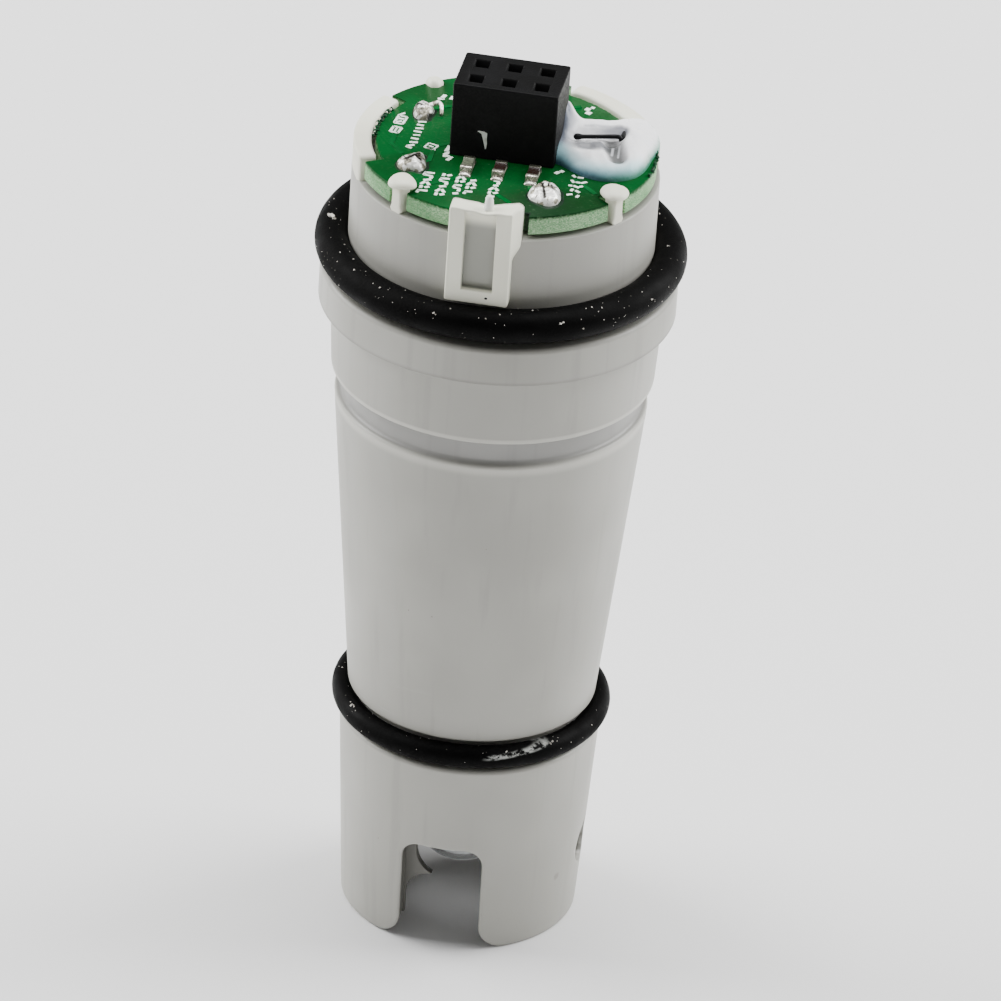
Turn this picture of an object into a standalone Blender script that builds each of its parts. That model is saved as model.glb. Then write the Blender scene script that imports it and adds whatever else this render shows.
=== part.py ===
"""Plug-in pH electrode of a pocket tester, in metres, +Z up.

The origin is on the electrode's axis, at the tips of the guard, on which it stands. The long side of
the socket lies along X, and the locating key faces -Y.
"""

import math

import bmesh
import bpy
from mathutils import Matrix, Vector

MM = 0.001
GAP = 0.3 * MM  # clearance between a piece and its seat
FINE_GAP = 0.15 * MM  # clearance of small pieces inside the socket
REACH = 2.0 * MM  # how far a cutter runs past what it cuts
OVERLAP = 0.3 * MM  # how deep joined shapes reach into each other
ROUND_STEPS = 64
WIRE_RESOLUTION = 2

# Moulded body, from the guard's tips up
GUARD_LENGTH = 13.4 * MM
GUARD_TIP_RADIUS = 7.34 * MM
GUARD_TOP_RADIUS = 8.1 * MM
GUARD_WALL = 1.3 * MM
GUARD_EDGE = 0.22 * MM
SLOT_WIDTH = 5.0 * MM
SLOT_HEIGHT = 7.35 * MM
SLOT_CORNER = 1.1 * MM
PRONG_CORNER = 1.6 * MM
SIDE_HOLE_RADIUS = 1.45 * MM
SIDE_HOLE_HEIGHT = 4.9 * MM
BULKHEAD_HEIGHT = 9.6 * MM
BULKHEAD_THICKNESS = 3.0 * MM
WEB_THICKNESS = 0.5 * MM  # of the web inside the guard, beside the slot
WEB_HOLLOW_RADIUS = 1.87 * MM
WEB_HOLLOW_HEIGHT = 5.85 * MM
WEB_ARCH_RADIUS = 1.5 * MM
WEB_ARCH_HEIGHT = 4.1 * MM
WEB_EDGE_INSET = 0.08 * MM  # of its lower edge, from the slot's side
BARREL_LENGTH = 20.5 * MM
BARREL_FOOT_RADIUS = 7.69 * MM
BARREL_TOP_RADIUS = 9.58 * MM
BARREL_TOP_ROUND = 0.45 * MM
BARREL_WALL = 1.35 * MM
NECK_LENGTH = 1.75 * MM
NECK_DEPTH = 0.42 * MM
SHOULDER_LENGTH = 4.6 * MM
SHOULDER_FOOT_RADIUS = 9.86 * MM
SHOULDER_TOP_RADIUS = 10.12 * MM
FLANGE_RADIUS = 10.88 * MM
FLANGE_LENGTH = 2.45 * MM
FLANGE_EDGE = 0.25 * MM
COLLAR_RADIUS = 9.3 * MM
COLLAR_LENGTH = 6.6 * MM
COLLAR_WALL = 1.4 * MM
PLUG_LEDGE_DEPTH = 0.7 * MM
PLUG_LEDGE_BELOW_FLANGE_TOP = 2.4 * MM

# O-rings
UPPER_RING_SECTION = 2.1 * MM
UPPER_RING_SEAT_RADIUS = 8.9 * MM
LOWER_RING_SECTION = 1.45 * MM
LOWER_RING_SEAT_RADIUS = 6.9 * MM
RING_FACETS = 12

# Circuit board and what the collar does at its edge
BOARD_RADIUS = 9.05 * MM
BOARD_THICKNESS = 1.2 * MM
RIM_RISE = 0.15 * MM
RIM_WALL = 1.1 * MM
RIM_SPANS = ((157.0, 208.0), (15.0, 73.0))  # degrees from +X
STAKE_WIDTH = 0.75 * MM
STAKE_DEPTH = 0.85 * MM
STAKE_HEAD_HEIGHT = 0.6 * MM
BALL_STAKE_DROP = 0.9 * MM  # how far the smallest head sits into its notch
LEAD_HOLE_RADIUS = 0.55 * MM
TAIL_HOLE_RADIUS = 0.5 * MM
NOTCH_SPARE = 0.25 * MM  # extra room beside the key, on one side

# Locating key on the collar
KEY_FACE_WIDTH = 3.9 * MM
KEY_BASE_WIDTH = 4.6 * MM
KEY_FACE_REACH = 9.9 * MM  # from the axis to the key's face
KEY_RISE = 0.6 * MM  # above the board
KEY_SHIFT = 0.22 * MM  # from the axis, along X
KEY_RING_CLEARANCE = 0.15 * MM
KEY_BORDER = 1.05 * MM
KEY_TOP_BORDER = 0.25 * MM
KEY_RECESS_DEPTH = 1.0 * MM
KEY_NUB_RADIUS = 0.28 * MM
KEY_NUB_HEIGHT = 0.9 * MM
KEY_NUB_SHIFT = 0.35 * MM  # from the key's middle
KEY_NUB_INSET = 0.6 * MM  # from the key's face

# Socket
PITCH = 2.0 * MM
SOCKET_COLUMNS = 3
SOCKET_ROWS = 2
SOCKET_MARGIN = 0.2 * MM  # housing beyond whole pitches, along X
SOCKET_SIDE_MARGIN = 0.15 * MM  # and along Y
SOCKET_HEIGHT = 4.5 * MM
WELL_WIDTH = 1.0 * MM
WELL_DEPTH = 3.6 * MM
WELL_BEVEL = 0.1 * MM
TAIL_CHANNEL_WIDTH = 0.8 * MM
CONTACT_THICKNESS = 0.5 * MM
CONTACT_TINE = 0.22 * MM
CONTACT_TIP_BELOW_TOP = 0.7 * MM
CONTACT_BASE_HEIGHT = 0.7 * MM
TAIL_WIDTH = 0.4 * MM
TAIL_PROUD = 0.8 * MM  # tail below the board

# Chip resistors and solder
CHIP_LENGTH = 1.65 * MM
CHIP_WIDTH = 0.85 * MM
CHIP_HEIGHT = 0.5 * MM
CHIP_EDGE = 0.06 * MM
CHIP_OFFSET = 3.6 * MM  # from the socket's middle towards the key
CHIP_SHIFT = 0.2 * MM
SOLDER_RADIUS = 0.85 * MM
SOLDER_HEIGHT = 0.55 * MM

# Sealed signal lead
SIGNAL_LEAD_INSET = 1.12 * MM  # from the collar's bore
SIGNAL_LEAD_ANGLE = 8.9
SIGNAL_LEAD_FROM_SOCKET = 0.9 * MM
SIGNAL_LEAD_SWING = -0.75 * MM  # of its bent end, along Y
SIGNAL_LEAD_RISE = 1.1 * MM
SEAL_FRONT = -2.5 * MM
SEAL_BACK = 4.7 * MM
SEAL_HEIGHT = 1.5 * MM
SEAL_RINGS = 6
SEAL_SIDES = 36
SEAL_FLATNESS = 2.6
SEAL_LIP = 0.1 * MM
SEAL_SPAN_MARGIN = 5.0  # degrees that the seal keeps from a rim's end
WIRE_CLEARANCE = 0.3 * MM

# Glass electrode and the chamber's pieces
STEM_RADIUS = 2.2 * MM
STEM_WALL = 0.45 * MM
STEM_BELOW_BOARD = 5.1 * MM
BULB_RADIUS = 3.1 * MM
BULB_WALL = 0.35 * MM
BULB_ABOVE_TIPS = 2.5 * MM
STOPPER_DEPTH = 2.0 * MM
STOPPER_FLANGE = 0.7 * MM
STEM_SEAL_WALL = 0.65 * MM
STEM_SEAL_FLANGE = 0.8 * MM
STEM_SEAL_FLANGE_REACH = 0.45 * MM
TOP_PLUG_THICKNESS = 2.2 * MM
PLUG_WAY_INSET = 2.0 * MM  # of the leads' holes, from the collar's bore
WIRE_RADIUS = 0.25 * MM
WIRE_BEND_HEIGHT = 2.0 * MM
REFERENCE_WIRE_FOOT = 3.5 * MM  # above the bulkhead
JUNCTION_RADIUS = 0.65 * MM
JUNCTION_PROUD = 0.5 * MM
JUNCTION_ANGLE = 55.0
SENSOR_RADIUS = 0.85 * MM
SENSOR_TIP_HEIGHT = 3.6 * MM
SENSOR_ABOVE_BULKHEAD = 2.6 * MM
SENSOR_ANGLE = -128.0
BULKHEAD_PIECE_RADIUS = 4.95 * MM  # from the axis to the sensor and the junction

# Levels that follow from the sizes above
LOWER_RING_LEVEL = GUARD_LENGTH + GAP + LOWER_RING_SECTION / 2
BARREL_FOOT_LEVEL = LOWER_RING_LEVEL + LOWER_RING_SECTION / 2 + FINE_GAP
BARREL_TOP_LEVEL = BARREL_FOOT_LEVEL + BARREL_LENGTH
NECK_TOP_LEVEL = BARREL_TOP_LEVEL + NECK_LENGTH
SHOULDER_TOP_LEVEL = NECK_TOP_LEVEL + SHOULDER_LENGTH
FLANGE_TOP_LEVEL = SHOULDER_TOP_LEVEL + FLANGE_LENGTH
UPPER_RING_LEVEL = FLANGE_TOP_LEVEL + GAP + UPPER_RING_SECTION / 2
UPPER_RING_TOP = UPPER_RING_LEVEL + UPPER_RING_SECTION / 2
COLLAR_TOP_LEVEL = FLANGE_TOP_LEVEL + COLLAR_LENGTH
BOARD_FOOT = COLLAR_TOP_LEVEL + GAP
BOARD_TOP = BOARD_FOOT + BOARD_THICKNESS
SOCKET_FOOT = BOARD_TOP + GAP
SOCKET_TOP = SOCKET_FOOT + SOCKET_HEIGHT
BULKHEAD_TOP = BULKHEAD_HEIGHT + BULKHEAD_THICKNESS
COLLAR_BORE = COLLAR_RADIUS - COLLAR_WALL
PLUG_LEDGE_LEVEL = FLANGE_TOP_LEVEL - PLUG_LEDGE_BELOW_FLANGE_TOP
LEDGE_BORE = COLLAR_BORE - PLUG_LEDGE_DEPTH
STEM_HOLE_RADIUS = STEM_RADIUS + GAP + STEM_SEAL_WALL + GAP
STEM_TOP = BOARD_FOOT - STEM_BELOW_BOARD
PLUG_TOP = PLUG_LEDGE_LEVEL + GAP + TOP_PLUG_THICKNESS
SOCKET_HALF_LENGTH = SOCKET_COLUMNS * PITCH / 2 + SOCKET_MARGIN


def on_circle(radius, angle):
    """The point at an angle in degrees on a circle round the axis."""
    return radius * math.cos(math.radians(angle)), radius * math.sin(math.radians(angle))


# Angle from +X and distance inside the collar's bore of each soldered lead
SOLDER_RAYS = ((158.0, 2.2 * MM), (-139.5, 0.95 * MM), (-59.0, 1.35 * MM))
SOLDER_PLACES = tuple(on_circle(COLLAR_BORE - inset, angle) for angle, inset in SOLDER_RAYS)
LEAD_WAYS = tuple(on_circle(COLLAR_BORE - PLUG_WAY_INSET, angle) for angle, inset in SOLDER_RAYS)
SIGNAL_LEAD_PLACE = on_circle(COLLAR_BORE - SIGNAL_LEAD_INSET, SIGNAL_LEAD_ANGLE)
SIGNAL_LEAD_END = (SOCKET_HALF_LENGTH + SIGNAL_LEAD_FROM_SOCKET, SIGNAL_LEAD_PLACE[1] + SIGNAL_LEAD_SWING)

# Angle, head radius and drop of each heat stake
STAKES = (
    (-125.7, 0.85 * MM, 0.0),
    (-33.0, 0.85 * MM, 0.0),
    (131.0, 0.65 * MM, BALL_STAKE_DROP),
)


def clear_scene():
    """Remove every object of the scene that the file opened with."""
    for old in list(bpy.data.objects):
        bpy.data.objects.remove(old, do_unlink=True)


def collection_named(name):
    """A new collection, linked to the scene."""
    made = bpy.data.collections.new(name)
    bpy.context.scene.collection.children.link(made)
    return made


clear_scene()
ELECTRODE = collection_named("ph_electrode")
CUTTERS = collection_named("cutters")
CUTTERS.hide_render = True


def material(name, colour, roughness, metallic=0.0, alpha=1.0):
    """A plain Principled material."""
    made = bpy.data.materials.new(name)
    made.use_nodes = True
    shader = made.node_tree.nodes["Principled BSDF"]
    shader.inputs["Base Color"].default_value = (*colour, 1.0)
    shader.inputs["Roughness"].default_value = roughness
    shader.inputs["Metallic"].default_value = metallic
    shader.inputs["Alpha"].default_value = alpha
    return made


def finish(piece, surface):
    """Give a piece its material and smooth its round faces."""
    piece.data.materials.clear()
    piece.data.materials.append(surface)
    piece.data.shade_smooth()
    piece.data.set_sharp_from_angle(angle=math.radians(35))
    return piece


def object_from(name, mesh, collection):
    """A new object for a mesh, linked to a collection."""
    made = bpy.data.objects.new(name, mesh)
    collection.objects.link(made)
    if collection is CUTTERS:
        made.hide_render = True
        made.display_type = "WIRE"
    return made


def applied(piece):
    """Replace a piece's mesh by its evaluated one and drop its modifiers."""
    graph = bpy.context.evaluated_depsgraph_get()
    mesh = bpy.data.meshes.new_from_object(piece.evaluated_get(graph))
    piece.modifiers.clear()
    piece.data = mesh
    return piece


def turned(name, profile, collection, steps=ROUND_STEPS):
    """Revolve a closed profile of (radius, height) points, listed down the outer side first."""
    mesh = bpy.data.meshes.new(name)
    points = [(radius, 0.0, height) for radius, height in profile]
    edges = [(i, (i + 1) % len(points)) for i in range(len(points))]
    mesh.from_pydata(points, edges, [])
    piece = object_from(name, mesh, collection)
    screw = piece.modifiers.new("turn", "SCREW")
    screw.steps = screw.render_steps = steps
    screw.use_merge_vertices = True
    screw.merge_threshold = 1e-6
    screw.use_smooth_shade = True
    return applied(piece)


def turned_solid(name, profile, collection, steps=ROUND_STEPS):
    """Revolve an open profile that starts and ends on the axis."""
    mesh = bpy.data.meshes.new(name)
    points = [(radius, 0.0, height) for radius, height in profile]
    edges = [(i, i + 1) for i in range(len(points) - 1)]
    mesh.from_pydata(points, edges, [])
    piece = object_from(name, mesh, collection)
    screw = piece.modifiers.new("turn", "SCREW")
    screw.steps = screw.render_steps = steps
    screw.use_merge_vertices = True
    screw.merge_threshold = 1e-6
    return applied(piece)


def outline_solid(name, outline, thickness, collection, placed=None):
    """Extrude a flat outline by a thickness centred on its plane."""
    curve = bpy.data.curves.new(name, "CURVE")
    curve.dimensions = "2D"
    curve.fill_mode = "BOTH"
    curve.extrude = thickness / 2
    spline = curve.splines.new("POLY")
    spline.points.add(len(outline) - 1)
    for point, (x, y) in zip(spline.points, outline):
        point.co = (x, y, 0.0, 1.0)
    spline.use_cyclic_u = True
    source = bpy.data.objects.new(name + "_outline", curve)
    ELECTRODE.objects.link(source)
    graph = bpy.context.evaluated_depsgraph_get()
    mesh = bpy.data.meshes.new_from_object(source.evaluated_get(graph))
    bpy.data.objects.remove(source, do_unlink=True)
    shape = bmesh.new()
    shape.from_mesh(mesh)
    bmesh.ops.remove_doubles(shape, verts=shape.verts, dist=1e-6)
    bmesh.ops.recalc_face_normals(shape, faces=shape.faces)
    shape.to_mesh(mesh)
    shape.free()
    if placed is not None:
        mesh.transform(placed)
    return object_from(name, mesh, collection)


def box(name, low, high, collection):
    """A box between two corners."""
    shape = bmesh.new()
    bmesh.ops.create_cube(shape, size=1.0)
    low, high = Vector(low), Vector(high)
    size = high - low
    bmesh.ops.scale(shape, verts=shape.verts, vec=size)
    bmesh.ops.translate(shape, verts=shape.verts, vec=(low + high) / 2)
    mesh = bpy.data.meshes.new(name)
    shape.to_mesh(mesh)
    shape.free()
    return object_from(name, mesh, collection)


def rod(name, radius, low, high, place, collection, steps=20):
    """An upright round rod between two heights."""
    shape = bmesh.new()
    bmesh.ops.create_cone(
        shape, cap_ends=True, segments=steps, radius1=radius, radius2=radius, depth=high - low
    )
    bmesh.ops.translate(shape, verts=shape.verts, vec=(place[0], place[1], (low + high) / 2))
    mesh = bpy.data.meshes.new(name)
    shape.to_mesh(mesh)
    shape.free()
    return object_from(name, mesh, collection)


def wire(name, route, radius, collection):
    """A round wire along straight stretches, as a curve made into a mesh."""
    curve = bpy.data.curves.new(name, "CURVE")
    curve.dimensions = "3D"
    curve.bevel_depth = radius
    curve.bevel_resolution = WIRE_RESOLUTION
    curve.use_fill_caps = True
    spline = curve.splines.new("POLY")
    spline.points.add(len(route) - 1)
    for point, place in zip(spline.points, route):
        point.co = (*place, 1.0)
    source = bpy.data.objects.new(name + "_route", curve)
    ELECTRODE.objects.link(source)
    graph = bpy.context.evaluated_depsgraph_get()
    mesh = bpy.data.meshes.new_from_object(source.evaluated_get(graph))
    bpy.data.objects.remove(source, do_unlink=True)
    shape = bmesh.new()
    shape.from_mesh(mesh)
    bmesh.ops.remove_doubles(shape, verts=shape.verts, dist=1e-6)
    bmesh.ops.recalc_face_normals(shape, faces=shape.faces)
    shape.to_mesh(mesh)
    shape.free()
    return object_from(name, mesh, collection)


def joined(piece, others, operation):
    """Join other shapes to a piece, or cut them from it, one after another."""
    for other in others:
        step = piece.modifiers.new(other.name, "BOOLEAN")
        step.operation = operation
        step.solver = "EXACT"
        step.object = other
        applied(piece)
    return piece


def arc(centre, radius, start, end, count):
    """Points along an arc, with both ends, angles in degrees."""
    return [
        (
            centre[0] + radius * math.cos(math.radians(start + (end - start) * i / count)),
            centre[1] + radius * math.sin(math.radians(start + (end - start) * i / count)),
        )
        for i in range(count + 1)
    ]


def body_profile():
    """The moulded body's section, down the outer side from the collar and up inside."""
    barrel_slope = (BARREL_TOP_RADIUS - BARREL_FOOT_RADIUS) / BARREL_LENGTH
    neck_radius = BARREL_TOP_RADIUS - NECK_DEPTH
    collar_foot = UPPER_RING_TOP + FINE_GAP
    top_round = [
        (BARREL_TOP_RADIUS + x, BARREL_TOP_LEVEL + z)
        for x, z in arc((-BARREL_TOP_ROUND, -BARREL_TOP_ROUND), BARREL_TOP_ROUND, 80, 5, 4)
    ]
    flange_foot = [
        (FLANGE_RADIUS + x, SHOULDER_TOP_LEVEL + z)
        for x, z in arc((-FLANGE_EDGE, FLANGE_EDGE), FLANGE_EDGE, 0, -90, 3)
    ]
    flange_head = [
        (FLANGE_RADIUS + x, FLANGE_TOP_LEVEL + z)
        for x, z in arc((-FLANGE_EDGE, -FLANGE_EDGE), FLANGE_EDGE, 90, 0, 3)
    ]
    tip = [
        (GUARD_TIP_RADIUS + x, z)
        for x, z in arc((-GUARD_EDGE, GUARD_EDGE), GUARD_EDGE, 0, -90, 3)
    ]
    outer = [
        (COLLAR_RADIUS, COLLAR_TOP_LEVEL),
        (COLLAR_RADIUS, collar_foot),
        (UPPER_RING_SEAT_RADIUS, collar_foot),
        (UPPER_RING_SEAT_RADIUS, FLANGE_TOP_LEVEL),
        *flange_head,
        *flange_foot,
        (SHOULDER_TOP_RADIUS, SHOULDER_TOP_LEVEL),
        (SHOULDER_FOOT_RADIUS, NECK_TOP_LEVEL),
        (neck_radius, NECK_TOP_LEVEL),
        (neck_radius, BARREL_TOP_LEVEL + FINE_GAP),
        *top_round,
        (BARREL_FOOT_RADIUS, BARREL_FOOT_LEVEL),
        (LOWER_RING_SEAT_RADIUS, BARREL_FOOT_LEVEL),
        (LOWER_RING_SEAT_RADIUS, GUARD_LENGTH),
        (GUARD_TOP_RADIUS - GUARD_EDGE, GUARD_LENGTH),
        (GUARD_TOP_RADIUS, GUARD_LENGTH - GUARD_EDGE),
        *tip,
    ]
    guard_slope = (GUARD_TOP_RADIUS - GUARD_TIP_RADIUS) / GUARD_LENGTH
    chamber_top = BARREL_TOP_LEVEL
    chamber_foot_radius = LOWER_RING_SEAT_RADIUS - BARREL_WALL / 2
    chamber_top_radius = BARREL_TOP_RADIUS - BARREL_WALL - barrel_slope * GAP
    chamber_top_radius = min(chamber_top_radius, LEDGE_BORE)
    inner = [
        (GUARD_TIP_RADIUS - GUARD_WALL, 0.0),
        (GUARD_TIP_RADIUS - GUARD_WALL + guard_slope * BULKHEAD_HEIGHT / 2, BULKHEAD_HEIGHT),
        (STEM_HOLE_RADIUS, BULKHEAD_HEIGHT),
        (STEM_HOLE_RADIUS, BULKHEAD_TOP),
        (chamber_foot_radius, BULKHEAD_TOP),
        (chamber_top_radius, chamber_top),
        (LEDGE_BORE, PLUG_LEDGE_LEVEL),
        (COLLAR_BORE, PLUG_LEDGE_LEVEL),
        (COLLAR_BORE, COLLAR_TOP_LEVEL),
    ]
    return outer + inner


def slot_outline():
    """The guard's slot across X and Z: round top corners, and flared where the prong tips are round."""
    half = SLOT_WIDTH / 2
    low = -REACH
    right = [
        (half + PRONG_CORNER, low),
        *arc((half + PRONG_CORNER, PRONG_CORNER), PRONG_CORNER, 270, 180, 6),
        *arc((half - SLOT_CORNER, SLOT_HEIGHT - SLOT_CORNER), SLOT_CORNER, 0, 90, 6),
    ]
    left = [(-x, z) for x, z in reversed(right)]
    return right + left


def sector_outline(inner, outer, start, end, count=10):
    """A piece of a flat ring between two angles."""
    return arc((0, 0), outer, start, end, count) + arc((0, 0), inner, end, start, count)


def rim_segments():
    """The two raised segments of the collar's wall beside the board."""
    low = COLLAR_TOP_LEVEL - OVERLAP
    high = BOARD_TOP + RIM_RISE
    placed = Matrix.Translation((0, 0, (low + high) / 2))
    return [
        outline_solid(
            f"rim_{index}",
            sector_outline(COLLAR_RADIUS - RIM_WALL, COLLAR_RADIUS - FINE_GAP / 10, start, end),
            high - low,
            CUTTERS,
            placed=placed,
        )
        for index, (start, end) in enumerate(RIM_SPANS)
    ]


def stake(index, angle, radius, drop):
    """A heat stake: a square stem on the collar and a mushroom head over the board's edge."""
    stem_middle = COLLAR_RADIUS - STAKE_DEPTH / 2 - FINE_GAP
    head_foot = BOARD_TOP + GAP - drop
    head_height = STAKE_HEAD_HEIGHT + drop * 0.8
    head_top = head_foot + head_height
    stem = box(
        f"stake_stem_{index}",
        (stem_middle - STAKE_DEPTH / 2, -STAKE_WIDTH / 2, COLLAR_TOP_LEVEL - OVERLAP),
        (stem_middle + STAKE_DEPTH / 2, STAKE_WIDTH / 2, head_foot + head_height / 2),
        CUTTERS,
    )
    rounded = [
        (radius * math.cos(turn), head_foot + head_height * (0.3 + 0.7 * math.sin(turn)))
        for turn in (math.radians(90 - 22.5 * i) for i in range(5))
    ]
    head = turned_solid(
        f"stake_head_{index}",
        [(0.0, head_top), *rounded[1:], (radius * 0.8, head_foot), (0.0, head_foot)],
        CUTTERS,
        steps=16,
    )
    head.data.transform(Matrix.Translation((stem_middle, 0, 0)))
    turn = Matrix.Rotation(math.radians(angle), 4, "Z")
    stem.data.transform(turn)
    head.data.transform(turn)
    return [stem, head]


def key_block():
    """The key's block, with sides that slope from its base to its narrower face."""
    foot = UPPER_RING_TOP + KEY_RING_CLEARANCE
    top = BOARD_TOP + KEY_RISE
    base_reach = COLLAR_RADIUS - COLLAR_WALL + OVERLAP
    outline = [
        (KEY_SHIFT - KEY_BASE_WIDTH / 2, -base_reach),
        (KEY_SHIFT - KEY_FACE_WIDTH / 2, -KEY_FACE_REACH),
        (KEY_SHIFT + KEY_FACE_WIDTH / 2, -KEY_FACE_REACH),
        (KEY_SHIFT + KEY_BASE_WIDTH / 2, -base_reach),
    ]
    placed = Matrix.Translation((0, 0, (foot + top) / 2))
    return outline_solid("key_block", outline, top - foot, CUTTERS, placed=placed)


def key_recess():
    """The long recess in the key's face."""
    foot = UPPER_RING_TOP + KEY_RING_CLEARANCE + KEY_BORDER
    top = BOARD_TOP + KEY_RISE - KEY_TOP_BORDER
    half = KEY_FACE_WIDTH / 2 - KEY_BORDER
    return box(
        "key_recess",
        (KEY_SHIFT - half, -KEY_FACE_REACH - REACH, foot),
        (KEY_SHIFT + half, -KEY_FACE_REACH + KEY_RECESS_DEPTH, top),
        CUTTERS,
    )


def key_nub():
    """The small peg on the key's top edge."""
    top = BOARD_TOP + KEY_RISE
    place = (KEY_SHIFT + KEY_NUB_SHIFT, KEY_NUB_INSET - KEY_FACE_REACH)
    return rod("key_nub", KEY_NUB_RADIUS, top - OVERLAP, top + KEY_NUB_HEIGHT, place, CUTTERS, steps=12)


def guard_web():
    """The web inside the guard: it stands between the slot's side and the sensor.

    Its free edge is hollowed round the bulb above and arched below, and the two curves meet in a point.
    """
    side = -SLOT_WIDTH / 2 + WEB_EDGE_INSET
    back = on_circle(BULKHEAD_PIECE_RADIUS, SENSOR_ANGLE)[1] - SENSOR_RADIUS - GAP
    root = -(GUARD_TIP_RADIUS - GUARD_WALL) * math.sin(math.acos(-back / (GUARD_TIP_RADIUS - GUARD_WALL)))
    root -= GUARD_WALL / 2
    foot = WEB_ARCH_HEIGHT - 2 * WEB_ARCH_RADIUS
    hollow = arc((0, WEB_HOLLOW_HEIGHT), WEB_HOLLOW_RADIUS, 180, 243, 6)
    arch = arc((side + WEB_ARCH_RADIUS, WEB_ARCH_HEIGHT - WEB_ARCH_RADIUS), WEB_ARCH_RADIUS, 92, 180, 7)
    outline = [
        (root, BULKHEAD_HEIGHT + OVERLAP),
        (-WEB_HOLLOW_RADIUS, BULKHEAD_HEIGHT + OVERLAP),
        *hollow,
        *arch,
        (side, foot),
        (root, foot),
    ]
    placed = Matrix.Translation((0, back - WEB_THICKNESS / 2, 0)) @ Matrix.Rotation(math.radians(90), 4, "X")
    return outline_solid("guard_web", outline, WEB_THICKNESS, CUTTERS, placed=placed)


def make_body(surface):
    """The one-piece moulding: collar, flange, shoulder, barrel and guard."""
    body = turned("body", body_profile(), ELECTRODE)
    slot = outline_solid(
        "guard_slot",
        slot_outline(),
        2 * (GUARD_TOP_RADIUS + REACH),
        CUTTERS,
        placed=Matrix.Rotation(math.radians(90), 4, "X"),
    )
    side_hole = outline_solid(
        "side_hole",
        arc((0, 0), SIDE_HOLE_RADIUS, 0, 360 - 360 / 20, 19),
        2 * (GUARD_TOP_RADIUS + REACH),
        CUTTERS,
        placed=Matrix.Translation((0, 0, SIDE_HOLE_HEIGHT)) @ Matrix.Rotation(math.radians(90), 4, "Y"),
    )
    low = BULKHEAD_HEIGHT - REACH
    high = BULKHEAD_TOP + REACH
    sensor_hole = rod(
        "sensor_hole",
        SENSOR_RADIUS + GAP,
        low,
        high,
        on_circle(BULKHEAD_PIECE_RADIUS, SENSOR_ANGLE),
        CUTTERS,
    )
    junction_hole = rod(
        "junction_hole",
        JUNCTION_RADIUS + GAP,
        low,
        high,
        on_circle(BULKHEAD_PIECE_RADIUS, JUNCTION_ANGLE),
        CUTTERS,
    )
    raised = rim_segments()
    for index, (angle, radius, drop) in enumerate(STAKES):
        raised += stake(index, angle, radius, drop)
    raised += [key_block(), key_nub()]
    joined(body, raised, "UNION")
    joined(body, [key_recess(), slot, side_hole, sensor_hole, junction_hole], "DIFFERENCE")
    joined(body, [guard_web()], "UNION")
    return finish(body, surface)


def make_ring(name, section, seat_radius, level, surface):
    """An O-ring lying on its seat at a level."""
    middle = seat_radius + GAP + section / 2
    profile = [
        (middle + x, level + z) for x, z in arc((0, 0), section / 2, 90, 90 - 360, RING_FACETS)[:-1]
    ]
    return finish(turned(name, profile, ELECTRODE), surface)


def board_outline():
    """The board's edge: full radius, and drawn in where the rim segments stand."""
    inside = COLLAR_RADIUS - RIM_WALL - GAP
    spans = sorted((start % 360, end % 360) for start, end in RIM_SPANS)
    margin = math.degrees(GAP / COLLAR_RADIUS)
    outline = []
    for index, (start, end) in enumerate(spans):
        following = spans[(index + 1) % len(spans)][0]
        if following <= end:
            following += 360
        outline += arc((0, 0), inside, start - margin, end + margin, 10)
        count = max(4, round((following - end) / 7))
        outline += arc((0, 0), BOARD_RADIUS, end + margin, following - margin, count)
    return outline


def socket_places():
    """The middle of each socket way, left to right and back to front."""
    return [
        ((column - (SOCKET_COLUMNS - 1) / 2) * PITCH, ((SOCKET_ROWS - 1) / 2 - row) * PITCH)
        for row in range(SOCKET_ROWS)
        for column in range(SOCKET_COLUMNS)
    ]


def make_board(surface):
    """The round circuit board with its notches and plated holes."""
    placed = Matrix.Translation((0, 0, BOARD_FOOT + BOARD_THICKNESS / 2))
    board = outline_solid("circuit_board", board_outline(), BOARD_THICKNESS, ELECTRODE, placed=placed)
    low = BOARD_FOOT - REACH
    high = BOARD_TOP + REACH
    holes = [(place, TAIL_HOLE_RADIUS) for place in socket_places()]
    holes += [(place, LEAD_HOLE_RADIUS) for place in (*SOLDER_PLACES, SIGNAL_LEAD_PLACE)]
    notches = [
        rod(f"board_hole_{index}", radius, low, high, place, CUTTERS, steps=12)
        for index, (place, radius) in enumerate(holes)
    ]
    for index, (angle, radius, drop) in enumerate(STAKES):
        stem_middle = COLLAR_RADIUS - STAKE_DEPTH / 2 - FINE_GAP
        half = (radius if drop else STAKE_WIDTH / 2) + GAP
        depth = (radius if drop else STAKE_DEPTH / 2) + GAP
        notch = box(
            f"stake_notch_{index}",
            (stem_middle - depth, -half, low),
            (COLLAR_RADIUS + REACH, half, high),
            CUTTERS,
        )
        notch.data.transform(Matrix.Rotation(math.radians(angle), 4, "Z"))
        notches.append(notch)
    left = KEY_SHIFT - KEY_BASE_WIDTH / 2 - GAP
    right = KEY_SHIFT + KEY_BASE_WIDTH / 2 + GAP + NOTCH_SPARE
    reach = COLLAR_RADIUS - COLLAR_WALL + OVERLAP - GAP
    notches.append(box("key_notch", (left, -KEY_FACE_REACH, low), (right, -reach, high), CUTTERS))
    joined(board, notches, "DIFFERENCE")
    return finish(board, surface)


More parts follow.
